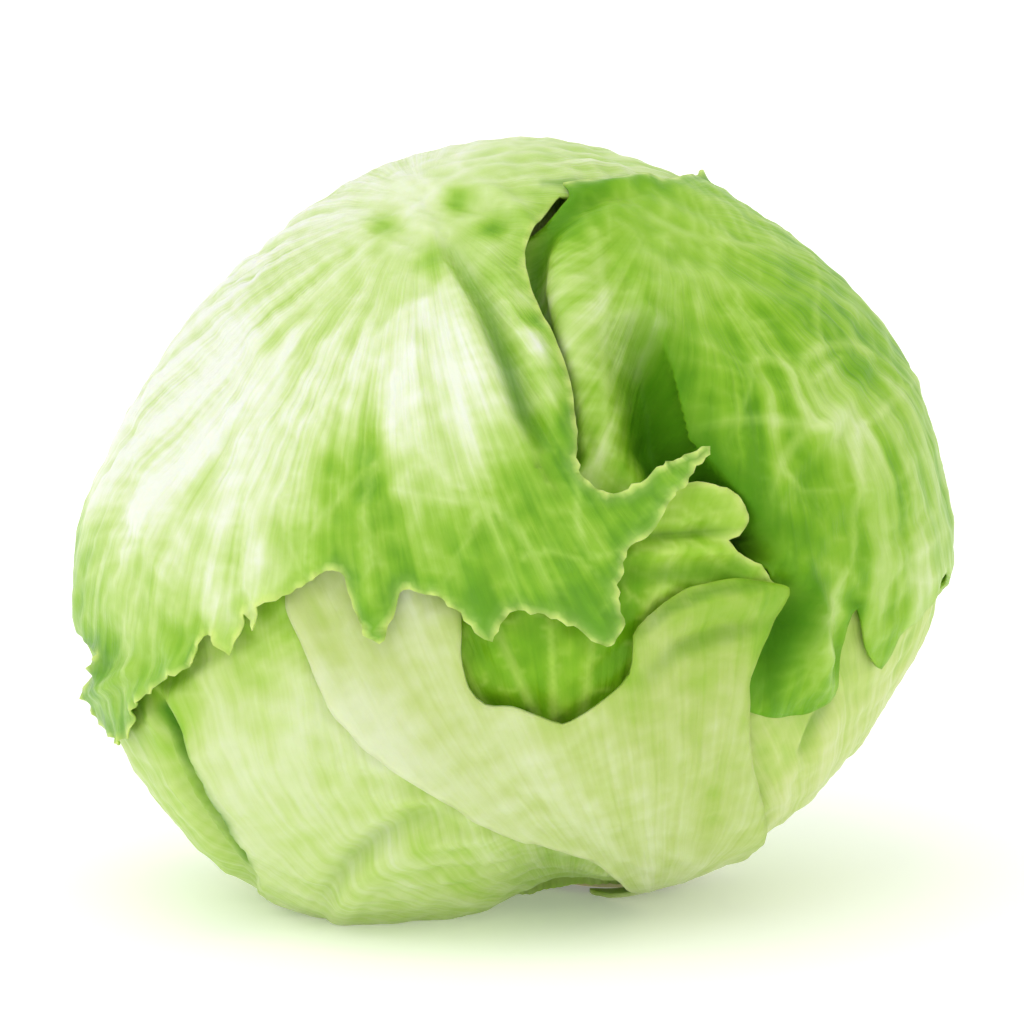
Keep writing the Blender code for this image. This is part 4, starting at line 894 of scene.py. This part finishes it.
# Right wrapper: round the pale vein node, with the pillar, the deep hollow and the torn flap
rightWrapper = {
    **usualLeaf,
    "middle": (52, 25),
    "free": [
        (9.5, 67.5), (16, 68.5), (25, 69.5), (31, 69.5), *behind((35, 66), (33, 60), (27, 50), (21, 34),
        (15, 17), (12, 0), (9, -18), (9, -36), (10, -50)),
    ],
    "rest": [
        *ring(96, 74, 52, 30), *behind((40, -52), (53, -40), (65, -27), (76, -14)), (81, -5), (78, -11),
        (73, -17), (70, -23.5), (67.5, -20), (67, -16), (65.5, -12), (64, -15.5), (63.3, -23),
        (61.5, -28.5), (57.5, -31.5), (52, -32.5), (47, -32), (42.5, -30), (41.5, -24), (44, -17.5),
        (47, -12), (49, -7), (47, -2), (43.5, 4), (38, 7), (30, 8), (23, 7), (17, 6.5), (12, 9), (8.5, 16),
        (8, 24), (5, 33), (3, 40), (0.5, 47), (-0.5, 52), (1.5, 58.2), (6, 61.3), (10.7, 65.1),
    ],
    "depth": [
        (15, 35, 2.2), (12, 12, 2.4), (22, 9, 4.2), (36, 8, 3.5), (50, 30, 0.6), (70, 0, 0.8),
        (60, 50, 0.8), (40, 62, 0.8), (15, 66, 1.1), (28, 68, 0.9), (36, 69, 6), (5, 61, 4.5),
        (72, -12, 0.8), (55, -25, 1.2), (42, -25, 2.4), (20, 30, back, 2.2), (60, 16, back, 1),
        (14, -10, back, 2.2), (40, -30, back, 2.2), (54, -8, back, 2.4), (24, -60, back, 2),
        (60, -30, back, 1.6),
    ],
    "folds": [
        ([(21, 66.6, -0.2), (16, 65.6, -0.3), (11, 63, -0.8), (7.4, 60, -2.4), (5.4, 55.5, -4.6),
          (4.8, 50, -5.5), (5.6, 45, -5), (7.6, 38, -4), (9.6, 29, -3), (11, 17, -2.5)], 9, 3.4),
        ([(21.5, 44, -0.5), (24.5, 38, -4.5), (27.5, 32.5, -8), (29.8, 27, -10), (31, 21.5, -11),
          (34, 16, -12), (38.5, 10, -11), (42.5, 4, -9), (46, -2, -7)], 13, 3.4),
        ([(23, 47, 1), (27.5, 40, 2.2), (31.5, 33, 2.6), (34.5, 26, 2.6), (36, 20, 2.6), (40, 14, 2.4),
          (45, 7, 2.2), (50, -2, 2), (53, -7, 1.4)], 2.6, 12),
        ([(20, 62.5, 0.6), (15, 60.5, 1.2), (12, 56.5, 1.6), (11, 51, 2), (11.5, 43, 2.2), (13, 34, 2),
          (15, 23, 1)], 3.6, 8),
        ([(10, 66, 0.4), (17, 67.5, 1.2), (26, 69, 0.8)], 2.6, 2),
        ([(10, 62, -0.2), (16, 65, -1), (24, 66.5, -0.8)], 2.2, 2.2),
        ([(26, 48, 0.6), (38, 50, 1), (52, 42, 0.4)], 4, 4),
        ([(57, 21, 0.8), (50, 12, 0.8), (44, 0, 0.2)], 3, 3),
        ([(57, 21, 0.8), (64, 30, 0.8), (68, 36, 0.2)], 3, 3),
        ([(51.5, -9, -1.5), (51, -15, -4.5), (49.5, -21, -4.5), (48, -26.5, -1.2)], 8, 4),
        ([(53, -5, 1.4), (56, -12, 2.8), (57, -20, 3), (56.5, -27, 1.2)], 3.6, 3.6),
        ([(60.5, -14, -0.6), (61, -19, -1), (60.5, -24, -0.4)], 2.2, 2.2),
    ],
    "backFolds": [
        ([(60, -18, 0), (68, -2, 1.6), (74, 10, 1.2)], 11, 11),
        ([(50, 12, 0.2), (46, 22, 0.8), (38, 38, 0.5)], 5, 5),
        ([(66, -4, 0.4), (62, 20, 1), (54, 42, 0.4)], 5, 5),
    ],
    "pulls": [
        ([(10, 57, 0.3), (8.6, 52, 1.4), (8.4, 46, 2), (9.6, 39, 2), (11.2, 31, 1.4), (12.6, 23, 0.6),
          (13.5, 16, 0.1)], 2.6, 7, (-0.95, 0)),
        ([(27.5, 40, 0.6), (31.5, 33, 2.4), (34.5, 26, 4), (36, 20, 4), (39, 15, 1.4),
          (45, 7, 0.2)], 3.4, 9, (-0.95, -0.3)),
    ],
    "spots": [(64.5, 33, -0.9, 6), (64, 4, -0.9, 4), (72, 4, -0.8, 4), (57, 21, 0.7, 5)],
    "ruffle": (0.8, 13, 5), "ragged": 0.9,
    "calm": [(14, 68, 10), (28, 69, 14), (36, 69, 12)],
    "teeth": 0.4, "veinHeight": 0.4, "fluteHeight": 0.04, "puckerHeight": 0.13, "fineVeins": 0.35,
    "veins": [
        ([(58.8, 21.3), (52.4, 22.4), (46.8, 23.3), (41.3, 23.1), (36, 22)], 1.7, 1),
        ([(56.1, 21.6), (52.4, 26.8), (51.1, 32), (46.8, 34.6), (44, 33.1), (43.3, 27.8),
          (41.3, 23.1)], 1.3, 0.9),
        ([(58.8, 21.6), (54.4, 29.6), (53.3, 33.9), (57.4, 36.6), (63.5, 37.4), (68.8, 35), (72.2, 30.2),
          (68.5, 25.7), (62.5, 21.3)], 1.3, 0.9),
        ([(54.4, 29.6), (57.4, 32), (61.6, 35.3)], 1, 0.8),
        ([(62.5, 21.3), (68.5, 25.3), (72.7, 28.7), (76.6, 32)], 1.2, 0.8),
        ([(62.5, 19.8), (63.5, 12), (63.6, 2.8), (62.5, -5.5)], 1.6, 0.9),
        ([(53.3, 20.5), (49.2, 13.9), (47, 7.4), (46.2, 0)], 1.3, 0.8),
        ([(64.8, 20.2), (69, 12), (71.8, 2.8), (74.6, -6.5)], 1.4, 0.8),
        ([(23.7, 54.6), (32.9, 50.9), (42.2, 48.5), (53.3, 46.8), (62.5, 45.3), (69, 42)], 3, 0.3),
        ([(26.5, 62.3), (32.9, 59.4), (42.2, 57.2), (53.3, 54.6), (59.8, 50.9)], 1.5, 0.6),
        ([(15, 58), (17, 48), (17.5, 36), (18, 26), (17, 14)], 1.5, 0.6),
        ([(46.8, 34.6), (44, 42), (42, 48)], 1.1, 0.7),
        ([(57.4, 36.6), (56, 43), (57, 50), (54, 58)], 1.1, 0.7),
        ([(49.2, 13.9), (55, 10), (63.5, 11)], 0.9, 0.6),
        ([(62, -5), (58, -12), (56, -20), (57, -28)], 1.1, 0.7),
    ],
    "backVeins": [
        ([(60, -28), (66, -14), (68, 4), (64, 18)], 3, 0.9),
        ([(66, -10), (50, 6), (34, 20)], 1.7, 0.7),
        ([(67, 4), (56, 22), (42, 40)], 1.6, 0.7),
        ([(58, -30), (40, -20), (22, -12)], 1.7, 0.6),
    ],
    "tints": [
        (58, 22, 0.3), (35, 51, 0.56), (20, 62, 0.66), (24, 57, 0.64), (16, 40, 0.4), (16, 20, 0.5),
        (75, -10, 0.5), (53, -3, 0.85), (46, 12, 0.92), (51, 14, 0.92), (54, 42, 0.8), (70, 38, 0.68),
        (44, 30, 0.76), (60, 0, 0.74), (74, 14, 0.6), (72, 24, 0.58), (52, -22, 0.85), (62, -16, 0.72),
        (45, 60, 0.6), (30, 24, 0.9), (40, 62, back, 0.6), (20, 30, back, 0.7), (60, 10, back, 0.35),
        (30, -20, back, 0.6), (30, -54, back, 0.1), (70, -14, back, 0.3),
    ],
    "tintReach": 0.16,
    # the two paler blotches on the flap's ridge are a painted highlight
    "blotches": [
        (58, 22, -0.15, 5), (64.5, 33, 0.12, 5), (72, -4, -0.15, 6), (10, 64, 0.3, 6),
        (57.5, -13, -0.25, 2.6), (58, -19, -0.2, 2.6),
    ],
    # painted shade: in the groove under the left wrapper's edge, the deep hollow, the flap's hollow and its
    # notch
    "paintedShades": [
        ([(18, 66, 0.1), (12, 63.6, 0.5), (7.4, 60, 0.8), (5, 55, 1), (4, 50, 1), (5.5, 44, 1),
          (7.5, 36, 1), (9.5, 28, 1), (11, 16, 1)], 4, 0.8),
        ([(22, 46, 0.1), (25, 40, 0.5), (28.5, 32, 0.9), (32, 21, 1), (38, 11, 1), (44, 2, 1)], 10, 0.95),
        ([(54, -8, 0.6), (53, -14, 1), (50, -20, 1), (45, -27, 0.7)], 6, 0.95),
        ([(64, -11, 0.8), (63.4, -17, 1), (62, -24, 0.6)], 1.8, 0.8),
    ],
    "fan": (27, 64), "fanWay": (38, 20),
    "look": lookOf(fibrePitch=5, fibreTint=0.4),
}
addBlade("rightWrapperBlade", "wrapper_right", rightWrapper, 1)

# Front leaf: the smooth pale crescent, with a folded margin under the opening
frontLeaf = {
    **usualLeaf,
    "middle": (0, -40),
    "free": [
        (23.5, -64.5), (16.5, -59.5), (5, -56), (-5, -52.5), (-10.5, -49.5), (-19.5, -43.5), (-26, -38.5),
        (-32.5, -32), (-37, -25), (-40, -18), (-42.5, -11.5), (-42, -4),
    ],
    "rest": [
        (-36, 1.5), (-26, -1), (-17, -2), (-11, -5), (-9.8, -10), (-9.5, -15.5), (-9.5, -20.5),
        (-8, -26.5), (-5, -29.5), (0, -29.5), (5, -31), (9, -32), (13.5, -29.5), (18, -26.5),
        (21.5, -23.5), (22, -19), (22.2, -16.5), (25, -13), (32, -8.4), (41.5, -6), (50.5, -7.6),
        (50, -11), (47, -17.5), (44.2, -24.5), (44.2, -33), (45, -42), (45.8, -50), (43, -57), (36, -61.5),
        *ring(322, 300, 276, 254),
    ],
    "depth": [
        (-38, -10, 2.8), (-20, -5, 2.8), (-25, -35, 1.2), (10, -45, 0.2), (45, -20, 0.8), (35, -10, 1.4),
        (0, -30, 1.6), (23, -64, -0.9), (38, -55, 0),
    ],
    "folds": [
        ([(22.5, -19, 0.5), (27, -13.5, 1.6), (36, -9.5, 2.4), (45, -8, 2), (50, -8, 1)], 6, 2.6),
        ([(23, -25, 0), (30, -18, -0.7), (40, -15, -0.9), (48, -14, -0.3)], 3, 3),
        ([(-40, -12, 0.3), (-33, -29, 0.7), (-18, -42, 0.7), (2, -53, 0.4)], 4, 3),
    ],
    "spots": [(12, -30, 0.8, 7), (44, -52, 0.8, 4)],
    "ruffle": (0, 15, 5), "ragged": 0.1, "teeth": 0.05, "curl": 0, "veinHeight": 0.25, "fluteHeight": 0.08,
    "puckerHeight": 0.1,
    "veins": [
        ([(14, -60), (-8, -46), (-24, -32), (-34, -14)], 2.2, 0.5),
        ([(20, -58), (4, -42), (-10, -28), (-20, -10)], 2, 0.45),
        ([(26, -57), (16, -44), (8, -36)], 2, 0.5),
        ([(32, -57), (30, -42), (28, -26)], 2.2, 0.5),
        ([(38, -56), (40, -42), (42, -26), (46, -14)], 1.8, 0.5),
    ],
    "tints": [
        (-35, -12, 0.25), (-25, -35, 0.06), (-10, -42, 0.12), (-22, -12, 0.3), (10, -45, 0.2),
        (20, -58, 0.22), (30, -35, 0.34), (45, -45, 0.38), (40, -12, 0.66), (30, -15, 0.58),
        (46, -8, 0.75), (42, -8, 0.8), (32, -24, 0.4), (0, -32, 0.25), (-10, -22, 0.32), (24, -22, 0.5),
    ],
    "tintReach": 0.16, "marginGreen": 0, "marginReach": 3,
    # painted shade in the furrow and along the top of the folded margin
    "paintedShades": [
        ([(24, -25, 0.3), (30, -19, 1), (40, -16, 1), (48, -14, 0.4)], 3, 0.35),
        ([(23, -16, 0.5), (28, -11.5, 1), (36, -8, 1), (45, -7, 0.8)], 1.6, 0.5),
    ],
    "fan": ("ring", 290), "fanWay": (0, -30),
    "look": lookOf(
        fibrePitch=9, fibreRun=0.22, fibreTint=0.32, bump=0.35, veinFade=0.05, veinShare=0.15,
        # a paler, weaker painted highlight along the margin
        marginShare=0.4, marginColour=(228, 236, 188),
        ramp=[
            (0, (216, 226, 188)), (0.25, (194, 209, 138)), (0.5, (172, 194, 96)), (0.75, (144, 186, 50)),
            (1, (108, 162, 20)),
        ],
    ),
}
addBlade("frontLeafBlade", "front_leaf", frontLeaf, 2)

# Low left leaf: pale, with a curled strip beside a deep gap and a fold that meets the surface
lowLeftLeaf = {
    **usualLeaf,
    "middle": (-40, -40),
    "free": [
        *behind((-18, -56), (-32, -51), (-46, -44), (-58, -35), (-68, -24), (-76, -16)), (-79, -17),
        (-75, -20),
    ],
    "rest": [
        (-67.5, -16), (-58, -9), (-48.5, -4), (-37.5, 1), (-29, -4), (-30, -14), (-27, -25), (-19, -36),
        (-4, -44), (12, -50), (26, -59), *ring(286, 262, 236, 210, 184), *behind((-6, -61)),
    ],
    "depth": [
        (-62, -22, 2.8), (-45, -6, 3.4), (-32, -4, 4.8), (-30, -25, 3.6), (-8, -48, 2.2), (-50, -35, 1.4),
        (-30, -69, -0.3), (-12, -69, -0.1), (-68, -40, 1.2), (-50, -60, 0.2), (5, -58, 2), (24, -61, 2.2),
        (-10, -62, back, 3.6), (-20, -54, back, 3.8), (-40, -52, back, 3.5), (-66, -32, back, 3.4),
        (-74, -20, 4.4),
    ],
    "folds": [
        ([(-65, -30, -2), (-62.5, -37, -6), (-59, -44, -7), (-54.5, -51, -7), (-50.5, -57, -5.5),
          (-48, -62, -3)], 4.6, 2.6),
        ([(-67, -31, 0.6), (-62, -27, 1.2), (-57, -24, 1.2), (-50, -20, 0.8), (-43, -17, 0.4)], 6, 3),
        ([(-34.5, -64, -1), (-31, -59.5, -2.1), (-25.5, -55, -2.3), (-19, -51.5, -1.8), (-11, -49.5, -1),
          (-4, -49, 0)], 2.8, 4),
        ([(-32, -68, 0.6), (-29.5, -63.5, 1.6), (-24.5, -59, 2), (-16, -55.5, 1.6), (-7, -54, 0.5)], 5, 3),
    ],
    "pulls": [
        ([(-62, -30, 0.6), (-59.5, -37, 1.8), (-56, -44, 2.2), (-51.5, -51, 2.2), (-47.5, -57, 1.6),
          (-46, -62, 0.6)], 2.6, 7, (-0.9, -0.4)),
    ],
    "spots": [(8, -64, -3.2, 9), (-40, -45, 0.8, 9)],
    "ruffle": (0.9, 13, 4), "ragged": 0.4, "teeth": 0.2, "curl": 0.7, "veinHeight": 0.3,
    "fluteHeight": 0.1, "puckerHeight": 0.15,
    "veins": [
        ([(-14, -60), (-34, -50), (-48, -38), (-58, -24)], 2, 0.5),
        ([(-20, -64), (-40, -57), (-52, -47), (-60, -36)], 1.6, 0.5),
        ([(-8, -54), (-26, -42), (-40, -28), (-50, -12)], 1.8, 0.45),
        ([(-4, -60), (-16, -50), (-28, -38)], 1.6, 0.5),
    ],
    "backVeins": [([(-12, -62), (-34, -52), (-54, -36)], 2, 0.5)],
    "tints": [
        (-62, -26, 0.5), (-56, -22, 0.6), (-50, -18, 0.7), (-48, -12, 0.7), (-70, -40, 0.4),
        (-72, -22, 0.8), (-52, -27, 0.3), (-45, -30, 0.1), (-30, -30, 0.1), (-52, -40, 0.15),
        (-36, -52, 0.2), (-20, -52, 0.35), (-62, -46, 0.45), (-66, -34, 0.55), (-10, -62, 0.35),
        (-30, -66, 0.3), (-40, -5, 0.7), (-68, -24, back, 0.6), (-30, -55, back, 0.25),
    ],
    "tintReach": 0.14, "marginReach": 5,
    # painted shade in the deep gap beside the curled strip and in the fold's groove
    "paintedShades": [
        ([(-65, -31, 0.6), (-62, -38, 1), (-58, -45, 1), (-53, -52, 1), (-49, -59, 0.6)], 3.2, 2),
        ([(-34, -64, 0.5), (-30.5, -59, 1), (-25, -55, 1), (-19, -51.5, 0.8), (-8, -49, 0)], 2.6, 0.2),
    ],
    "fan": ("ring", 250), "fanWay": (-50, -40),
    "look": lookOf(
        fibrePitch=9, fibreRun=0.25, fibreTint=0.45, bump=0.4, veinFade=0.08, veinShare=0.2,
        ramp=[
            (0, (218, 230, 190)), (0.25, (200, 219, 146)), (0.5, (174, 205, 92)), (0.75, (142, 192, 42)),
            (1, (104, 166, 16)),
        ],
    ),
}
addBlade("lowLeftLeafBlade", "low_left_leaf", lowLeftLeaf, 3)

# Low right leaf: pale, tucked under the right wrapper
lowRightLeaf = {
    **usualLeaf,
    "middle": (60, -45),
    "free": [(38, -33), (44, -30.5), (52, -29.5), (58, -25), (62.5, -13), (70, -8), (78, -4)],
    "rest": [
        *behind((80, 2), (75, -4), (62, -18), (49, -31), (36, -43)), *ring(44, 22, 0, 335, 314), (36, -52),
        (34, -40),
    ],
    "depth": [
        (45, -30, 5.4), (60, -24, 3.6), (63, -13, 4), (70, -12, 3.4), (78, -8, 3), (38, -45, 2.4),
        (55, -45, 1.4), (66, -34, 1.8), (50, -56, 1.6), (60, -26, back, 4), (40, -46, back, 4.2),
        (30, -64, 2),
    ],
    "folds": [
        ([(60.5, -28.5, -0.6), (58, -33, -1.2), (55.5, -39, -0.8)], 1.8, 3),
        ([(61.5, -30, 0.5), (59.5, -35, 0.9), (56.5, -41, 0.4)], 1.8, 4),
    ],
    "ruffle": (0, 15, 5), "ragged": 0.2, "teeth": 0.1, "curl": 0, "veinHeight": 0.25, "fluteHeight": 0.08,
    "puckerHeight": 0.12,
    "veins": [
        ([(42, -58), (52, -46), (58, -34)], 1.6, 0.5),
        ([(48, -56), (60, -44), (68, -30)], 1.6, 0.5),
        ([(38, -56), (44, -44), (46, -34)], 1.5, 0.5),
    ],
    "tints": [
        (45, -35, 0.3), (55, -45, 0.15), (48, -52, 0.2), (66, -34, 0.25), (52, -38, 0.45), (74, -16, 0.4),
        (60, -30, 0.35), (40, -50, 0.25),
    ],
    "tintReach": 0.12, "marginGreen": 0.1,
    # painted shade in the furrow
    "paintedShades": [([(60, -29, 1), (57.5, -34, 1), (55.5, -39, 0.4)], 1.8, 0.55)],
    "fan": ("ring", 0), "fanWay": (60, -45),
    "look": lookOf(
        fibrePitch=8, fibreRun=0.25, fibreTint=0.45, bump=0.35, veinFade=0.08, veinShare=0.2,
        ramp=[(0, (216, 226, 168)), (0.3, (194, 212, 122)), (0.6, (168, 202, 82)), (1, (108, 162, 24))],
    ),
}
addBlade("lowRightLeafBlade", "low_right_leaf", lowRightLeaf, 4)

# Inner leaf: bright green in the opening, its tip rolled out to a cup
innerLeaf = {
    **usualLeaf,
    "middle": (10, -20),
    "free": [
        (41, -24), (44.5, -15), (48.3, -10.5), (49, -7), (46.5, -3.2), (43, -2.2), (41.2, -0.8), (40.7, 1),
        (42.4, 2), (43.6, 4.5), (42.8, 7), (40.4, 9.8), (37.5, 11.6), (33, 12), (28, 9.5), (24, 5),
        (18, 1), (10, 0), (0, -2), (-10, -4),
    ],
    "rest": [(-17, -10), (-19, -24), (-12, -38), (2, -46), (18, -46), (32, -38)],
    "depth": [
        (0, -20, 5.6), (20, -35, 5.6), (38, -20, 5.2), (-12, -10, 5.4), (28, -10, 4.6), (10, -3, 4.4),
        (36, 5, 0.2), (30, 3, 0.8), (42, 4, 0.6),
    ],
    "folds": [
        ([(23, -1.5, 0.8), (30, -0.8, 2.2), (37, -0.8, 2.2), (41.5, -1, 1.4)], 2.4, 2.6),
        ([(22, 1.8, -0.3), (28, 2.2, -1.3), (36, 2.6, -1.5), (41, 3, -0.6)], 1.8, 2.4),
        ([(32, 11.5, 0.6), (37, 10.2, 0.8), (40.5, 7.5, 0.8), (42.5, 4.5, 1)], 2.4, 3),
        ([(-6, -8, 0.2), (-4, -18, 0.8), (0, -28, 0.3)], 2.5, 2.5),
        ([(6, -10, 0.2), (7, -20, 0.8), (10, -30, 0.3)], 2.5, 2.5),
    ],
    "spots": [(35, 6, -1.4, 5)],
    "ruffle": (0.3, 9, 3), "ragged": 0.5, "teeth": 0.3, "curl": 0.3, "veinHeight": 0.3, "fluteHeight": 0.1,
    "puckerHeight": 0.2,
    "veins": [
        ([(8, -46), (4, -32), (-2, -18), (-6, -6)], 1.4, 0.7),
        ([(9, -46), (8, -30), (7, -12)], 1.3, 0.7),
        ([(11, -46), (14, -28), (16, -10)], 1.3, 0.6),
        ([(14, -45), (22, -28), (26, -12)], 1.3, 0.6),
        ([(6, -46), (-6, -30), (-13, -14)], 1.2, 0.6),
        ([(26, -12), (31, -2), (36, 6)], 1.1, 0.6),
    ],
    "tints": [
        (0, -20, 0.8), (15, -30, 0.75), (-12, -10, 0.85), (25, -10, 0.85), (35, 4, 0.5), (10, -3, 0.9),
        (34, -3, 0.4), (44, -5, 0.9),
    ],
    "tintReach": 0.14, "marginGreen": -0.1, "marginReach": 2,
    # painted shade in the furrow above the rolled lip and a painted shadow under it
    "paintedShades": [
        ([(22, 1.8, 0.4), (29, 2, 1), (36, 2.4, 1), (41, 3, 0.4)], 1.6, 0.55),
        ([(20, -6, 0.5), (28, -5.5, 1), (36, -5, 1), (42, -5, 0.7)], 3.4, 0.6),
    ],
    "fan": (9, -60), "fanWay": (8, -20),
    "look": lookOf(
        fibrePitch=6, fibreTint=0.4, veinColour=(196, 222, 112), veinShare=0.8,
        ramp=[(0, (210, 228, 150)), (0.4, (170, 208, 76)), (0.7, (138, 188, 30)), (1, (100, 162, 4))],
    ),
}
addBlade("innerLeafBlade", "inner_leaf", innerLeaf, 5)

# Back leaf: round the lower back, with a midrib from the stem
backLeaf = {
    **usualLeaf,
    "middle": (14, -25, back),
    "free": [
        *behind((56, -26), (57, -12), (52, 1), (46, 9), (42, 6), (37, 15), (30, 20), (26, 15), (19, 22),
        (11, 24), (6, 18), (-2, 20), (-9, 14), (-16, 13), (-19, 5), (-21, -8), (-20, -22), (-17, -38)),
    ],
    "rest": [*behind((-10, -52), (-4, -61)), *ring(152, 130, 106, 82, 60), *behind((38, -56), (49, -42))],
    "depth": [
        (14, -25, back, 0), (50, -20, back, 0.2), (-15, -10, back, 0), (14, 15, back, 0.2),
        (15, -60, back, 0),
    ],
    "backFolds": [
        ([(16, -58, 1), (15, -40, 2), (16, -20, 1.8), (18, 0, 0.6)], 11, 11),
        ([(16, -38, 0.3), (30, -18, 1.2), (40, 0, 0.5)], 5, 5),
        ([(15, -36, 0.3), (2, -14, 1.2), (-8, 4, 0.5)], 5, 5),
    ],
    "ruffle": (1.6, 16, 7), "ragged": 1.2, "teeth": 0.35, "veinHeight": 0.5, "fluteHeight": 0.12,
    "puckerHeight": 0.3,
    "backVeins": [
        ([(15, -60), (15, -40), (16, -20), (18, 2), (19, 18)], 3.6, 1),
        ([(15, -38), (30, -20), (42, -2)], 1.8, 0.8),
        ([(15, -36), (2, -16), (-10, 6)], 1.8, 0.8),
        ([(16, -18), (26, 0), (32, 14)], 1.5, 0.7),
        ([(16, -16), (8, 2), (4, 14)], 1.5, 0.7),
        ([(15, -48), (34, -34), (52, -20)], 1.7, 0.7),
        ([(15, -46), (-2, -34), (-18, -18)], 1.7, 0.7),
    ],
    "tints": [
        (15, -58, back, 0.08), (15, -35, back, 0.12), (16, -10, back, 0.3), (16, 15, back, 0.6),
        (45, -10, back, 0.55), (-12, -5, back, 0.55), (40, -35, back, 0.35), (-10, -35, back, 0.3),
    ],
    "tintReach": 0.2, "marginGreen": 0.3, "marginReach": 6, "fan": ("ring", 106), "fanWay": (16, 0, back),
    "look": lookOf(fibrePitch=8, fibreTint=0.35, veinColour=(214, 230, 166), veinShare=0.5, veinFade=0.3),
}
addBlade("backLeafBlade", "back_leaf", backLeaf, 6)

allLeaves = [leftWrapper, rightWrapper, frontLeaf, lowLeftLeaf, lowRightLeaf, innerLeaf, backLeaf]

# Heart: the packed inner leaves, with their lips
heartValues = {
    "depth": 9.5,
    "spread": 5,
    "lips": 7,
    "lipHeight": 1.6,
    "fineLips": 0.35,
    "socketGap": 0.5,
    "subdivisions": 7,
    "look": lookOf(
        ramp=[(0, (236, 240, 200)), (0.4, (214, 226, 140)), (0.8, (172, 206, 84)), (1, (140, 186, 50))],
        veinColour=(240, 244, 214), fibreTint=0.8, glow=0.2,
    ),
}


def addHeart(name, leaves):
    shape = bmesh.new()
    bmesh.ops.create_icosphere(shape, subdivisions=heartValues["subdivisions"], radius=1)
    directions = np.array([vertex.co[:] for vertex in shape.verts])
    right, up, front = directions.T
    turn = np.arctan2(right, front) / (2 * np.pi)
    share = (heartValues["lips"] * turn + 1.6 * up) % 1
    lips = np.where(share < 0.82, share / 0.82, (1 - share) / 0.18) * (1 - up**2)
    depth = heartValues["depth"]
    radius = headRadius(directions) - depth + heartValues["lipHeight"] * lips + crinkle(directions)
    ripple = np.sin(60 * turn + 9 * up) * np.sin(7 * up + 3 * turn)
    radius += heartValues["fineLips"] * ripple * (1 - up**2)
    relief = np.zeros(len(directions))
    for leaf in leaves:
        relief += reliefOf(leaf, directions, heartValues["spread"], onlyDown=True)
    radius = resting(radius + relief, depth, directions)
    points = onFloor(directions * radius[:, None])
    # a socket round the stem
    foot = np.array(stemValues["foot"]) + np.array(head["shift"])
    aside = np.hypot(*(points[:, :2] - foot).T)
    ceiling = stemValues["top"] + heartValues["socketGap"]
    under = (aside < stemValues["buttRadius"] + heartValues["socketGap"]) & (points[:, 2] < ceiling)
    points[under, 2] = ceiling
    for vertex, point in zip(shape.verts, points):
        vertex.co = point * mm
    mesh = meshOf(name, shape)
    mesh.shade_smooth()
    green = 0.35 + 0.35 * np.clip(lips - 0.5, 0, 1) + 0.15 * front + 0.15 * up
    # painted shade where the leaves press into the heart
    shade = np.clip(-relief / 22, 0, 0.8)
    marks = {"green": green, "shade": shade, "vein": 0 * up, "margin": 0 * up, "fibre": 0 * up + 1}
    maps = {"plan": np.stack([right, front], axis=1), "fan": np.stack([right, up], axis=1)}
    storeMarks(mesh, marks, {key: values * head["meanRadius"] / 10 for key, values in maps.items()})
    mesh.materials.append(leafMaterial(name, heartValues["look"]))
    piece = linked(name, mesh)
    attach(piece, "root")
    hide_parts("heart")
    print("heart", len(mesh.polygons), "faces")


addHeart("packedHeart", allLeaves)


# Studio: pale floor, soft light and the photograph's camera
studio = {
    "distance": 2.4,
    "elevation": 12,
    "picture": 1024,
    "pixel": 0.185,  # millimetres a pixel at the head's middle
    "headRow": 545,
    "world": 0.93,
    "floorColour": (252, 253, 249),
    "cloudColour": (249, 251, 244),
    # the floor glows a little: painted light that whitens the floor's shadow and lights the head's underside
    "floorFillGlow": 0.18,
    "keyStrength": 0.85,
    "keyAngle": 60,
    "keyFrom": (-0.5, -0.5, 1.2),
}


def buildStudio():
    scene = bpy.context.scene
    scene.view_settings.view_transform = "Standard"
    scene.view_settings.look = "None"
    scene.view_settings.exposure = 0
    scene.view_settings.gamma = 1
    tilt = math.radians(studio["elevation"])
    toCamera = Vector((0, -math.cos(tilt), math.sin(tilt)))
    pictureUp = Vector((0, math.sin(tilt), math.cos(tilt)))
    rise = (studio["headRow"] - studio["picture"] / 2) * studio["pixel"] * mm
    aim = Vector((*head["shift"], -head["restLevel"])) * mm + pictureUp * rise
    camera = linked("photoCamera", bpy.data.cameras.new("photoCamera"))
    camera.data.sensor_width = 36
    camera.data.lens = 36 * studio["distance"] / (studio["picture"] * studio["pixel"] * mm)
    camera.data.clip_end = 50
    camera.location = aim + toCamera * studio["distance"]
    camera.rotation_euler = toCamera.to_track_quat("Z", "Y").to_euler()
    scene.camera = camera

    shape = bmesh.new()
    bmesh.ops.create_grid(shape, x_segments=1, y_segments=1, size=6)
    mesh = meshOf("paleFloor", shape)
    bench = nodeBench("paleFloor")
    clouds = bench.soft(bench.noise(bench.add("ShaderNodeTexCoord", output="Object"), 6, 2), 0.3, 0.7, 0, 0.4)
    colour = bench.mix(clouds, linear(studio["floorColour"]), linear(studio["cloudColour"]))
    bench.link(colour, "Base Color")
    # the floor's glow is painted light
    bench.fix({
        "Emission Color": (1, 1, 1, 1), "Emission Strength": studio["floorFillGlow"], "Roughness": 0.7,
        "Specular IOR Level": 0.2,
    })
    mesh.materials.append(bench.material)
    floor = linked("paleFloor", mesh)

    world = bpy.data.worlds.new("studioWorld")
    world.use_nodes = True
    sky = world.node_tree.nodes["Background"].inputs
    sky["Color"].default_value = (1, 1, 1, 1)
    sky["Strength"].default_value = studio["world"]
    scene.world = world
    sun = bpy.data.lights.new("softKey", "SUN")
    sun.energy = studio["keyStrength"]
    sun.angle = math.radians(studio["keyAngle"])
    lamp = linked("softKey", sun)
    lamp.rotation_euler = Vector(studio["keyFrom"]).to_track_quat("Z", "Y").to_euler()


buildStudio()
print("studio ready")
